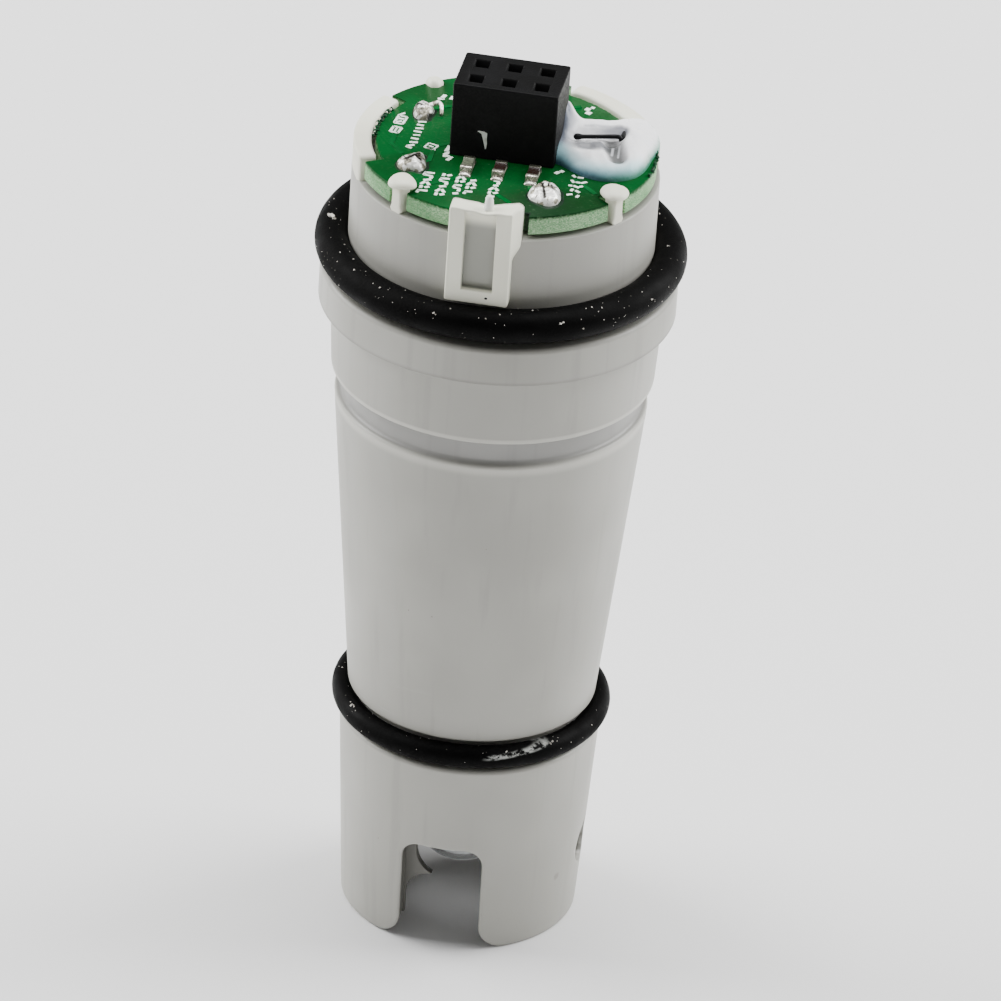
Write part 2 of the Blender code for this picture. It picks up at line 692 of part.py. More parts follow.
def make_socket(surface):
    """The socket's housing, with a bevelled well and a tail channel for each way."""
    half = SOCKET_ROWS * PITCH / 2 + SOCKET_SIDE_MARGIN
    housing = box(
        "socket_housing",
        (-SOCKET_HALF_LENGTH, -half, SOCKET_FOOT),
        (SOCKET_HALF_LENGTH, half, SOCKET_TOP),
        ELECTRODE,
    )
    cutters = []
    for index, (x, y) in enumerate(socket_places()):
        floor = SOCKET_TOP - WELL_DEPTH
        mouth = WELL_WIDTH / 2 + WELL_BEVEL
        well = box(
            f"well_{index}",
            (x - WELL_WIDTH / 2, y - WELL_WIDTH / 2, floor),
            (x + WELL_WIDTH / 2, y + WELL_WIDTH / 2, SOCKET_TOP + REACH),
            CUTTERS,
        )
        lead_in = bmesh.new()
        bmesh.ops.create_cone(
            lead_in,
            cap_ends=True,
            segments=4,
            radius1=WELL_WIDTH / 2 * math.sqrt(2),
            radius2=(mouth + WELL_BEVEL) * math.sqrt(2),
            depth=2 * WELL_BEVEL,
        )
        bmesh.ops.rotate(lead_in, verts=lead_in.verts, matrix=Matrix.Rotation(math.radians(45), 3, "Z"))
        bmesh.ops.translate(lead_in, verts=lead_in.verts, vec=(x, y, SOCKET_TOP))
        mesh = bpy.data.meshes.new(f"lead_in_{index}")
        lead_in.to_mesh(mesh)
        lead_in.free()
        channel = TAIL_CHANNEL_WIDTH / 2
        tail = box(
            f"channel_{index}",
            (x - channel, y - channel, SOCKET_FOOT - REACH),
            (x + channel, y + channel, floor + OVERLAP),
            CUTTERS,
        )
        cutters += [well, object_from(f"lead_in_{index}", mesh, CUTTERS), tail]
    joined(housing, cutters, "DIFFERENCE")
    return finish(housing, surface)


def make_contact(index, place, surface):
    """A forked spring contact: two tines, a base that stands in the well, and a tail through the board."""
    half = WELL_WIDTH / 2 - FINE_GAP
    top = SOCKET_TOP - CONTACT_TIP_BELOW_TOP
    floor = SOCKET_TOP - WELL_DEPTH + FINE_GAP
    base_top = floor + CONTACT_BASE_HEIGHT
    tail_foot = BOARD_FOOT - TAIL_PROUD
    right = [
        (TAIL_WIDTH / 2, tail_foot),
        (TAIL_WIDTH / 2, floor),
        (half, floor),
        (half, top),
        (half - CONTACT_TINE / 2, top),
        (half - CONTACT_TINE, top - CONTACT_TINE),
        (half - CONTACT_TINE, base_top),
    ]
    outline = right + [(-x, z) for x, z in reversed(right)]
    placed = Matrix.Translation((*place, 0)) @ Matrix.Rotation(math.radians(90), 4, "X")
    contact = outline_solid(
        f"socket_contact_{index}", outline, CONTACT_THICKNESS, ELECTRODE, placed=placed
    )
    return finish(contact, surface)


def make_chip(index, x, surface):
    """A chip resistor on the board, its long side towards the socket."""
    chip = box(
        f"chip_resistor_{index}",
        (x - CHIP_WIDTH / 2, -CHIP_OFFSET - CHIP_LENGTH / 2, BOARD_TOP + GAP),
        (x + CHIP_WIDTH / 2, -CHIP_OFFSET + CHIP_LENGTH / 2, BOARD_TOP + GAP + CHIP_HEIGHT),
        ELECTRODE,
    )
    edge = chip.modifiers.new("edge", "BEVEL")
    edge.width = CHIP_EDGE
    edge.segments = 1
    return finish(applied(chip), surface)


def make_solder(index, place, surface):
    """A low dome of solder over a lead's end."""
    foot = BOARD_TOP + GAP
    dome = [
        (SOLDER_RADIUS * math.cos(turn), foot + SOLDER_HEIGHT * math.sin(turn))
        for turn in (math.radians(90 - 18 * i) for i in range(1, 6))
    ]
    joint = turned_solid(
        f"solder_joint_{index}",
        [(0.0, foot + SOLDER_HEIGHT), *dome, (0.0, foot)],
        ELECTRODE,
        steps=16,
    )
    joint.data.transform(Matrix.Translation((*place, 0)))
    return finish(joint, surface)


def signal_route():
    """The signal wire's route: up the glass tube, across to its hole and bent over on the board."""
    x, y = SIGNAL_LEAD_PLACE
    end_x, end_y = SIGNAL_LEAD_END
    over = BOARD_TOP + SIGNAL_LEAD_RISE
    bend = BOARD_FOOT - WIRE_BEND_HEIGHT
    return [
        (0.0, 0.0, BULB_ABOVE_TIPS + BULB_RADIUS),
        (0.0, 0.0, bend - WIRE_BEND_HEIGHT * 0.35),
        (x * 0.12, y * 0.12, bend - WIRE_BEND_HEIGHT * 0.1),
        (x * 0.88, y * 0.88, bend + WIRE_BEND_HEIGHT * 0.1),
        (x, y, bend + WIRE_BEND_HEIGHT * 0.35),
        (x, y, over - 2 * WIRE_RADIUS),
        (x - WIRE_RADIUS / 2, y, over - WIRE_RADIUS / 2),
        (x - 2 * WIRE_RADIUS, y + (end_y - y) * 0.1, over),
        (end_x, end_y, over),
    ]


def seal_height(along, across):
    """Height of the silicone at shares of its half sizes: a flat-topped mound."""
    out = min(1.0, math.hypot(along, across))
    return SEAL_HEIGHT * (1.0 - out**SEAL_FLATNESS) ** 0.5


def seal_limit(angle):
    """How far from the axis the silicone may spread: up to a rim segment or the board's edge."""
    for start, end in RIM_SPANS:
        if start - SEAL_SPAN_MARGIN < angle < end + SEAL_SPAN_MARGIN:
            return COLLAR_RADIUS - RIM_WALL - GAP
    return BOARD_RADIUS


def make_seal(surface):
    """The silicone mound over the signal lead, with a trough that shows the lead."""
    foot = BOARD_TOP + GAP
    near, far = SOCKET_HALF_LENGTH + GAP, BOARD_RADIUS - GAP / 2
    middle = ((near + far) / 2, (SEAL_FRONT + SEAL_BACK) / 2)
    half_width, half_length = (far - near) / 2, (SEAL_BACK - SEAL_FRONT) / 2
    shape = bmesh.new()
    rings = []
    for ring in range(1, SEAL_RINGS + 1):
        share = math.sin(math.radians(90) * ring / SEAL_RINGS)
        loop = []
        for side in range(SEAL_SIDES):
            turn = 2 * math.pi * side / SEAL_SIDES
            along, across = share * math.sin(turn), share * math.cos(turn)
            x = middle[0] + half_width * across
            y = middle[1] + half_length * along
            inward = min(1.0, seal_limit(math.degrees(math.atan2(y, x))) / math.hypot(x, y))
            level = foot + SEAL_LIP + seal_height(along, across)
            loop.append(shape.verts.new((x * inward, y * inward, level)))
        rings.append(loop)
    crown = shape.verts.new((*middle, foot + SEAL_LIP + SEAL_HEIGHT))
    for side in range(SEAL_SIDES):
        following = (side + 1) % SEAL_SIDES
        shape.faces.new((crown, rings[0][side], rings[0][following]))
        for inner, outer in zip(rings, rings[1:]):
            shape.faces.new((inner[side], outer[side], outer[following], inner[following]))
    edge = rings[-1]
    skirt = [shape.verts.new((v.co.x, v.co.y, foot)) for v in edge]
    for side in range(SEAL_SIDES):
        following = (side + 1) % SEAL_SIDES
        shape.faces.new((edge[side], skirt[side], skirt[following], edge[following]))
    shape.faces.new(list(reversed(skirt)))
    bmesh.ops.recalc_face_normals(shape, faces=shape.faces)
    mesh = bpy.data.meshes.new("silicone_seal")
    shape.to_mesh(mesh)
    shape.free()
    seal = object_from("silicone_seal", mesh, ELECTRODE)
    x, y = SIGNAL_LEAD_PLACE
    end_x, end_y = SIGNAL_LEAD_END
    room = WIRE_RADIUS + WIRE_CLEARANCE
    over = BOARD_TOP + SIGNAL_LEAD_RISE
    trough = box(
        "lead_trough",
        (end_x - room, min(y, end_y) - 2 * room, over - room),
        (x + room, max(y, end_y) + room, over + SEAL_HEIGHT),
        CUTTERS,
    )
    lead_hole = rod("lead_hole", room, foot - REACH, over, (x, y), CUTTERS, steps=12)
    joined(seal, [trough, lead_hole], "DIFFERENCE")
    return finish(seal, surface)


def make_glass(surface):
    """The glass tube, open at its top, with the bulb blown at its lower end."""
    centre = BULB_ABOVE_TIPS + BULB_RADIUS
    meet = math.degrees(math.acos(STEM_RADIUS / BULB_RADIUS))
    inner_bulb = BULB_RADIUS - BULB_WALL
    inner_stem = STEM_RADIUS - STEM_WALL
    inner_meet = math.degrees(math.acos(inner_stem / inner_bulb))
    outer = arc((0, centre), BULB_RADIUS, meet, -90, 12)
    inner = arc((0, centre), inner_bulb, -90, inner_meet, 12)
    profile = [
        (STEM_RADIUS, STEM_TOP),
        *outer[:-1],
        (0.0, BULB_ABOVE_TIPS),
        (0.0, BULB_ABOVE_TIPS + BULB_WALL),
        *inner[1:],
        (inner_stem, STEM_TOP),
    ]
    mesh = bpy.data.meshes.new("glass_electrode")
    points = [(radius, 0.0, height) for radius, height in profile]
    axis = len(outer)
    edges = [(i, i + 1) for i in range(len(points) - 1) if i != axis - 0]
    edges.append((len(points) - 1, 0))
    mesh.from_pydata(points, edges, [])
    glass = object_from("glass_electrode", mesh, ELECTRODE)
    screw = glass.modifiers.new("turn", "SCREW")
    screw.steps = screw.render_steps = 32
    screw.use_merge_vertices = True
    screw.merge_threshold = 1e-6
    return finish(applied(glass), surface)


def make_stopper(surface):
    """The stopper in the tube's open end, with a hole for the signal wire."""
    inner = STEM_RADIUS - STEM_WALL - FINE_GAP
    hole = WIRE_RADIUS + FINE_GAP
    top = STEM_TOP + GAP + STOPPER_FLANGE
    profile = [
        (STEM_RADIUS, top),
        (STEM_RADIUS, STEM_TOP + GAP),
        (inner, STEM_TOP + GAP),
        (inner, STEM_TOP - STOPPER_DEPTH),
        (hole, STEM_TOP - STOPPER_DEPTH),
        (hole, top),
    ]
    return finish(turned("tube_stopper", profile, ELECTRODE, steps=24), surface)


def make_stem_seal(surface):
    """The grommet between the glass tube and the bulkhead."""
    hole = STEM_RADIUS + GAP
    body = STEM_HOLE_RADIUS - GAP
    shelf = BULKHEAD_TOP + GAP
    top = shelf + STEM_SEAL_FLANGE
    profile = [
        (body + STEM_SEAL_FLANGE_REACH, top),
        (body + STEM_SEAL_FLANGE_REACH, shelf),
        (body, shelf),
        (body, BULKHEAD_HEIGHT),
        (hole, BULKHEAD_HEIGHT),
        (hole, top),
    ]
    return finish(turned("stem_seal", profile, ELECTRODE, steps=24), surface)


def make_top_plug(surface):
    """The plug on the ledge under the board, with holes for the glass tube and three leads."""
    foot = PLUG_LEDGE_LEVEL + GAP
    low, high = foot - REACH, PLUG_TOP + REACH
    plug = rod("top_plug", COLLAR_BORE - GAP, foot, PLUG_TOP, (0, 0), ELECTRODE, steps=40)
    ways = [rod("stem_way", STEM_RADIUS + GAP, low, high, (0, 0), CUTTERS)]
    ways += [
        rod(f"lead_way_{index}", WIRE_RADIUS + GAP, low, high, place, CUTTERS, steps=12)
        for index, place in enumerate(LEAD_WAYS)
    ]
    joined(plug, ways, "DIFFERENCE")
    return finish(plug, surface)


def make_sensor(surface):
    """The temperature sensor: a round-tipped rod through the bulkhead beside the glass tube."""
    x, y = on_circle(BULKHEAD_PIECE_RADIUS, SENSOR_ANGLE)
    tip = arc((0, SENSOR_TIP_HEIGHT + SENSOR_RADIUS), SENSOR_RADIUS, 0, -90, 5)
    top = BULKHEAD_TOP + SENSOR_ABOVE_BULKHEAD
    profile = [(0.0, top), (SENSOR_RADIUS, top), *tip[:-1], (0.0, SENSOR_TIP_HEIGHT)]
    sensor = turned_solid("temperature_sensor", profile, ELECTRODE, steps=16)
    sensor.data.transform(Matrix.Translation((x, y, 0)))
    return finish(sensor, surface)


def lead_end(index):
    """A lead's way from the top plug to its hole in the board."""
    return [
        (*LEAD_WAYS[index], PLUG_TOP + WIRE_BEND_HEIGHT / 2),
        (*SOLDER_PLACES[index], BOARD_FOOT - WIRE_BEND_HEIGHT / 2),
        (*SOLDER_PLACES[index], BOARD_TOP),
    ]


def make_leads(surface):
    """The sensor's two leads and the reference wire, each up to its place on the board."""
    sensor_x, sensor_y = on_circle(BULKHEAD_PIECE_RADIUS, SENSOR_ANGLE)
    start = BULKHEAD_TOP + SENSOR_ABOVE_BULKHEAD + FINE_GAP
    made = []
    for index, side in enumerate((1, -1), start=1):
        foot_x = sensor_x - side * SENSOR_RADIUS * 0.4
        foot_y = sensor_y + side * SENSOR_RADIUS * 0.45
        route = [
            (foot_x, foot_y, start),
            (foot_x, foot_y, start + WIRE_BEND_HEIGHT),
            (*LEAD_WAYS[index - 1], start + 4 * WIRE_BEND_HEIGHT),
            *lead_end(index - 1),
        ]
        made.append(finish(wire(f"sensor_lead_{index}", route, WIRE_RADIUS, ELECTRODE), surface))
    way = LEAD_WAYS[2]
    foot = BULKHEAD_TOP + REFERENCE_WIRE_FOOT
    inset = 0.8
    route = [
        (way[0] * inset, way[1] * inset, foot),
        (way[0] * inset, way[1] * inset, foot + 3 * WIRE_BEND_HEIGHT),
        (*way, foot + 6 * WIRE_BEND_HEIGHT),
        *lead_end(2),
    ]
    made.append(finish(wire("reference_wire", route, WIRE_RADIUS, ELECTRODE), surface))
    return made


def main():
    """Build every piece of the electrode."""
    moulding = material("moulding", (0.55, 0.54, 0.51), 0.45)
    rubber = material("ring_rubber", (0.012, 0.012, 0.012), 0.5)
    laminate = material("board_laminate", (0.01, 0.19, 0.06), 0.35)
    socket_black = material("socket_black", (0.01, 0.01, 0.011), 0.4)
    plated = material("plated_contact", (0.75, 0.6, 0.3), 0.25, metallic=1.0)
    chip = material("chip_ceramic", (0.12, 0.08, 0.06), 0.4)
    solder = material("solder", (0.65, 0.65, 0.66), 0.3, metallic=1.0)
    silicone = material("silicone", (0.85, 0.88, 0.9), 0.4)
    silver = material("silver_wire", (0.4, 0.4, 0.42), 0.3, metallic=1.0)
    glass = material("sensing_glass", (0.9, 0.95, 0.95), 0.05, alpha=0.35)
    soft_seal = material("seal_rubber", (0.2, 0.2, 0.2), 0.6)
    ceramic = material("porous_ceramic", (0.8, 0.8, 0.78), 0.9)
    sleeve = material("sensor_sleeve", (0.08, 0.08, 0.08), 0.5)

    make_body(moulding)
    make_ring("upper_o_ring", UPPER_RING_SECTION, UPPER_RING_SEAT_RADIUS, UPPER_RING_LEVEL, rubber)
    make_ring("lower_o_ring", LOWER_RING_SECTION, LOWER_RING_SEAT_RADIUS, LOWER_RING_LEVEL, rubber)
    make_board(laminate)
    make_socket(socket_black)
    for index, place in enumerate(socket_places(), start=1):
        make_contact(index, place, plated)
    for index in range(SOCKET_COLUMNS):
        x = (index - (SOCKET_COLUMNS - 1) / 2) * PITCH + CHIP_SHIFT
        make_chip(index + 1, x, chip)
    for index, place in enumerate(SOLDER_PLACES, start=1):
        make_solder(index, place, solder)
    make_seal(silicone)
    finish(wire("signal_wire", signal_route(), WIRE_RADIUS, ELECTRODE), silver)
    make_glass(glass)
    make_stopper(soft_seal)
    make_stem_seal(soft_seal)
    make_top_plug(soft_seal)
    x, y = on_circle(BULKHEAD_PIECE_RADIUS, JUNCTION_ANGLE)
    junction = rod(
        "junction_plug",
        JUNCTION_RADIUS,
        BULKHEAD_HEIGHT - JUNCTION_PROUD,
        BULKHEAD_TOP + JUNCTION_PROUD,
        (x, y),
        ELECTRODE,
    )
    finish(junction, ceramic)
    make_sensor(sleeve)
    make_leads(silver)


main()
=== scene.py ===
"""The looks of a plug-in pH electrode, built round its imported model.

Lengths in this file are millimetres until a mesh is made. The origin is on the electrode's axis at the
tips of the guard, +Z points up and -Y towards the locating key.
"""

from __future__ import annotations

import logging
import math
from collections.abc import Callable
from dataclasses import dataclass, field
from enum import Enum
from functools import reduce
from operator import add

import bmesh
import bpy
import numpy as np
from mathutils import Matrix

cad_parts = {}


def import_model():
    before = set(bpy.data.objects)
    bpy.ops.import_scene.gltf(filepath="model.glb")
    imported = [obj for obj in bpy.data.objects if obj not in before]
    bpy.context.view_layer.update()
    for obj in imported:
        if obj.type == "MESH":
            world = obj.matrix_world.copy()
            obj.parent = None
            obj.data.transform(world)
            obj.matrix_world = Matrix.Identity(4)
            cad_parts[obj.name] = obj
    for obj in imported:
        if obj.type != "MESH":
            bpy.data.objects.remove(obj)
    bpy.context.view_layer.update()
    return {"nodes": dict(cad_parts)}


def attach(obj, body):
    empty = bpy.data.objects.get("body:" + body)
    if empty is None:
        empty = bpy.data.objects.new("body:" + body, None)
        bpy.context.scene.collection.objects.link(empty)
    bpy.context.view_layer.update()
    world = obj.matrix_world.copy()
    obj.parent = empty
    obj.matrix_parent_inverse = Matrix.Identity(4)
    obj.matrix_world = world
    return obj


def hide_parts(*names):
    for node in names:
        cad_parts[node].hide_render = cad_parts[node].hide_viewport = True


LOG = logging.getLogger("electrode")
MM = 0.001
BODY = "root"

Pair = tuple[float, float]
Triple = tuple[float, float, float]


class Slot(Enum):
    """The record's material slots that the dressed pieces belong to."""

    MOULDING = "moulding"
    RING = "ring_rubber"
    BOARD = "board_laminate"
    SOCKET = "socket_black"
    CHIP = "chip_ceramic"
    SOLDER = "solder"
    SILICONE = "silicone"
    WIRE = "silver_wire"
    GLASS = "sensing_glass"
    SLEEVE = "sensor_sleeve"


# Surfaces


@dataclass
class Surface:
    """Points in millimetres and the faces over them."""

    points: np.ndarray
    faces: list[tuple[int, ...]]

    def __add__(self, other: Surface) -> Surface:
        """Both surfaces as one."""
        step = len(self.points)
        moved = [tuple(i + step for i in face) for face in other.faces]
        return Surface(np.vstack([self.points, other.points]), self.faces + moved)

    def shifted(self, x: float = 0.0, y: float = 0.0, z: float = 0.0) -> Surface:
        """The surface moved by an offset."""
        return Surface(self.points + np.array([x, y, z]), self.faces)

    def turned(self, degrees: float) -> Surface:
        """The surface turned about the electrode's axis.

        Args:
            degrees: The angle.

        Returns:
            A new surface.
        """
        turn = math.radians(degrees)
        cos, sin = math.cos(turn), math.sin(turn)
        spin = np.array([[cos, -sin, 0], [sin, cos, 0], [0, 0, 1]])
        return Surface(self.points @ spin.T, self.faces)


def joined(surfaces: list[Surface]) -> Surface:
    """Many surfaces as one.

    Args:
        surfaces: One surface at least.

    Returns:
        The single surface.
    """
    return reduce(add, surfaces)


def sheet(rows: np.ndarray, closed: bool, ring: bool = False) -> Surface:
    """Quads over a grid of points: row i, column j joins i+1, j+1.

    Args:
        rows: Points, shaped rows by columns by 3.
        closed: Whether the last column joins the first.
        ring: Whether the last row joins the first.

    Returns:
        The surface over the grid, open at its first and last row unless it is a ring.
    """
    count, width = rows.shape[:2]
    i = np.arange(count if ring else count - 1)[:, None]
    j = np.arange(width if closed else width - 1)[None, :]
    after, beside = (i + 1) % count, (j + 1) % width
    quads = np.stack([i * width + j, i * width + beside, after * width + beside, after * width + j], axis=-1)
    return Surface(rows.reshape(-1, 3), [tuple(q) for q in quads.reshape(-1, 4).tolist()])


def capped(rows: np.ndarray) -> Surface:
    """A stack of closed loops, each end shut by one face.

    Args:
        rows: Points, shaped loops by points by 3.

    Returns:
        The closed surface.
    """
    surface = sheet(rows, closed=True)
    count, width = rows.shape[:2]
    surface.faces.append(tuple(range(width - 1, -1, -1)))
    surface.faces.append(tuple((count - 1) * width + i for i in range(width)))
    return surface


def turned_rows(profile: np.ndarray, steps: int) -> np.ndarray:
    """Rows of a turned surface: (r cos a, r sin a, z) for each profile point and angle a.

    Args:
        profile: Radius and height of each row.
        steps: Number of columns round the axis.

    Returns:
        Points, shaped rows by columns by 3.
    """
    angle = np.linspace(0, 2 * np.pi, steps, endpoint=False)
    radius, height = profile[:, :1], profile[:, 1:]
    return np.stack([radius * np.cos(angle), radius * np.sin(angle), height + 0 * angle], axis=-1)


def filleted(corners: list[Triple], steps: int = 4, closed: bool = True) -> np.ndarray:
    """A polyline whose corners are arcs that touch both of their sides.

    Args:
        corners: First and second coordinate and fillet radius of each corner.
        steps: Segments of each arc.
        closed: Whether the last corner joins the first.

    Returns:
        The points of the rounded line.
    """
    places = np.array([[a, b] for a, b, _ in corners], float)
    count = len(places)
    line: list[np.ndarray] = []
    for index, (_, _, radius) in enumerate(corners):
        here = places[index]
        if radius <= 0 or (not closed and index in (0, count - 1)):
            line.append(here[None, :])
            continue
        back, ahead = places[index - 1] - here, places[(index + 1) % count] - here
        reach_back, reach_ahead = np.linalg.norm(back), np.linalg.norm(ahead)
        back, ahead = back / reach_back, ahead / reach_ahead
        half = math.acos(float(np.clip(back @ ahead, -1, 1))) / 2
        if half > math.radians(89):
            line.append(here[None, :])
            continue
        cut = min(radius / math.tan(half), 0.45 * reach_back, 0.45 * reach_ahead)
        radius = cut * math.tan(half)
        middle = here + (back + ahead) / np.linalg.norm(back + ahead) * radius / math.sin(half)
        start, end = here + back * cut - middle, here + ahead * cut - middle
        first = math.atan2(start[1], start[0])
        sweep = (math.atan2(end[1], end[0]) - first + math.pi) % (2 * math.pi) - math.pi
        angle = first + sweep * np.linspace(0, 1, steps + 1)
        line.append(middle + radius * np.stack([np.cos(angle), np.sin(angle)], axis=-1))
    return np.vstack(line)


def rounded_box(low: Pair, high: Pair, corner: float, steps: int = 4) -> np.ndarray:
    """A rectangle between its lowest and highest corner, with all four corners rounded.

    Args:
        low: Its lowest corner.
        high: Its highest corner.
        corner: Radius of its corners.
        steps: Segments of each corner.

    Returns:
        The points of its outline.
    """
    (left, foot), (right, top) = low, high
    places = ((left, foot), (right, foot), (right, top), (left, top))
    return filleted([(x, y, corner) for x, y in places], steps)


def smooth_noise(points: np.ndarray, seed: int, scale: float) -> np.ndarray:
    """A smooth wavy value of about -1 to 1 at each point: a sum of sines in fixed odd directions.

    Args:
        points: Any array of points.
        seed: What the directions are drawn from.
        scale: Length of the longest wave in millimetres.

    Returns:
        A value for each point.
    """
    rng = np.random.default_rng(seed)
    total = np.zeros(points.shape[:-1])
    for octave in range(4):
        direction = rng.normal(size=3)
        direction *= (1.6**octave) / scale / np.linalg.norm(direction)
        total += np.sin(points @ direction * 2 * np.pi + rng.uniform(0, 6.3)) / 1.4**octave
    return total / 2.4


def swept(path: np.ndarray, radius: np.ndarray, sides: int = 16) -> Surface:
    """A round rod along a path, its rings kept square to it, shut by rounded ends.

    Args:
        path: Points along the middle.
        radius: Radius at each of those points.
        sides: Sides of each ring.

    Returns:
        The closed rod.
    """
    ahead = np.gradient(path, axis=0)
    ahead /= np.linalg.norm(ahead, axis=1, keepdims=True)
    side = np.zeros_like(ahead)
    lead = np.cross(ahead[0], [0.3, 0.9, 0.1])
    for index, direction in enumerate(ahead):
        lead = lead - direction * (lead @ direction)
        lead /= np.linalg.norm(lead)
        side[index] = lead
    other = np.cross(ahead, side)
    angle = np.linspace(0, 2 * np.pi, sides, endpoint=False)[None, :, None]
    loops = np.cos(angle) * side[:, None] + np.sin(angle) * other[:, None]
    rows = path[:, None] + loops * radius[:, None, None]
    tips = []
    for end, sign in ((0, -1.0), (-1, 1.0)):
        turn = np.radians([25, 50, 75])[:, None, None]
        tips.append(
            path[end]
            + loops[end][None] * radius[end] * np.cos(turn)
            + sign * ahead[end] * radius[end] * np.sin(turn)
        )
    return capped(np.concatenate([tips[0][::-1], rows, tips[1]]))


def smoothed_path(corners: np.ndarray, radius: float, spacing: float = 0.15) -> np.ndarray:
    """A route of straight runs whose corners are rounded, as evenly spaced points.

    Args:
        corners: Its ends and corners.
        radius: How far from a corner its rounding starts.
        spacing: Distance between two points.

    Returns:
        The points, three at least.
    """
    knots = [corners[0]]
    for before, here, after in zip(corners, corners[1:], corners[2:]):
        back, ahead = before - here, after - here
        cut = min(radius, np.linalg.norm(back) * 0.45, np.linalg.norm(ahead) * 0.45)
        start = here + back / np.linalg.norm(back) * cut
        end = here + ahead / np.linalg.norm(ahead) * cut
        share = np.linspace(0, 1, 9)[:, None]
        knots.extend((1 - share) ** 2 * start + 2 * share * (1 - share) * here + share**2 * end)
    knots.append(corners[-1])
    line = np.array(knots)
    along = np.concatenate([[0], np.cumsum(np.linalg.norm(np.diff(line, axis=0), axis=1))])
    keep = np.concatenate([[True], np.diff(along) > 1e-9])
    line, along = line[keep], along[keep]
    at = np.linspace(0, along[-1], max(3, int(along[-1] / spacing)))
    return np.stack([np.interp(at, along, line[:, k]) for k in range(3)], axis=-1)


def crumb(place: np.ndarray, sizes: np.ndarray, rng: np.random.Generator) -> Surface:
    """A small uneven lump: a sphere's grid whose points are pushed in and out.

    Args:
        place: Where its middle lies.
        sizes: Half its extent along three directions of its own.
        rng: The draws of its unevenness and its directions.

    Returns:
        The closed lump.
    """
    turn = np.radians(np.linspace(-75, 75, 5))
    ball = turned_rows(np.stack([np.cos(turn), np.sin(turn)], axis=-1), 7)
    ball *= 1.0 + 0.3 * rng.normal(size=ball.shape[:2])[..., None].clip(-1.2, 1.2)
    spin = np.linalg.qr(rng.normal(size=(3, 3)))[0]
    return capped((ball * sizes) @ spin + place)


def outward(mesh: bpy.types.Mesh) -> None:
    """Merge doubles and turn every face outwards.

    Args:
        mesh: The mesh to mend.
    """
    shape = bmesh.new()
    shape.from_mesh(mesh)
    bmesh.ops.remove_doubles(shape, verts=shape.verts, dist=1e-7)
    bmesh.ops.dissolve_degenerate(shape, edges=shape.edges, dist=1e-8)
    bmesh.ops.recalc_face_normals(shape, faces=shape.faces)
    shape.to_mesh(mesh)
    shape.free()


def soft_normals(mesh: bpy.types.Mesh, sharp: float) -> None:
    """Shade a mesh smooth, so that large faces stay flat beside their rounded edges.

    Each vertex takes the sum of its faces' normals times their areas. Edges sharper than the limit
    are left to the mesh's own shading.

    Args:
        mesh: The mesh to shade.
        sharp: The sharpest edge in degrees that is still shaded smooth.
    """
    mesh.shade_smooth()
    mesh.set_sharp_from_angle(angle=math.radians(sharp))
    if sharp < 89:
        return
    count = len(mesh.polygons)
    normals, areas = np.zeros(count * 3), np.zeros(count)
    mesh.polygons.foreach_get("normal", normals)
    mesh.polygons.foreach_get("area", areas)
    totals = np.zeros(count, int)
    mesh.polygons.foreach_get("loop_total", totals)
    owners = np.zeros(len(mesh.loops), int)
    mesh.loops.foreach_get("vertex_index", owners)
    weighted = normals.reshape(-1, 3) * areas[:, None]
    total = np.zeros((len(mesh.vertices), 3))
    np.add.at(total, owners, np.repeat(weighted, totals, axis=0))
    total /= np.maximum(np.linalg.norm(total, axis=1, keepdims=True), 1e-20)
    mesh.normals_split_custom_set_from_vertices(total.tolist())


def made(name: str, surface: Surface, sharp: float = 90.0) -> bpy.types.Object:
    """An object for a surface, with its faces outwards and smooth shading.

    Args:
        name: The piece's name.
        surface: The surface in millimetres.
        sharp: The sharpest edge in degrees that is shaded smooth.

    Returns:
        The new object, linked to the scene.
    """
    mesh = bpy.data.meshes.new(name)
    mesh.from_pydata((surface.points * MM).tolist(), [], surface.faces)
    outward(mesh)
    soft_normals(mesh, sharp)
    piece = bpy.data.objects.new(name, mesh)
    bpy.context.scene.collection.objects.link(piece)
    return piece


def carved(piece: bpy.types.Object, cutters: list[Surface], sharp: float = 90.0) -> None:
    """Cut closed shapes out of a piece.

    Args:
        piece: The piece that is cut.
        cutters: Closed surfaces in millimetres.
        sharp: The sharpest edge in degrees that is shaded smooth afterwards.
    """
    for index, cutter in enumerate(cutters):
        tool = made(f"{piece.name}_tool_{index}", cutter)
        step = piece.modifiers.new("cut", "BOOLEAN")
        step.operation, step.solver, step.object = "DIFFERENCE", "EXACT", tool
        graph = bpy.context.evaluated_depsgraph_get()
        mesh = bpy.data.meshes.new_from_object(piece.evaluated_get(graph))
        piece.modifiers.clear()
        piece.data = mesh
        bpy.data.objects.remove(tool, do_unlink=True)
    outward(piece.data)
    soft_normals(piece.data, sharp)


# Shader nodes


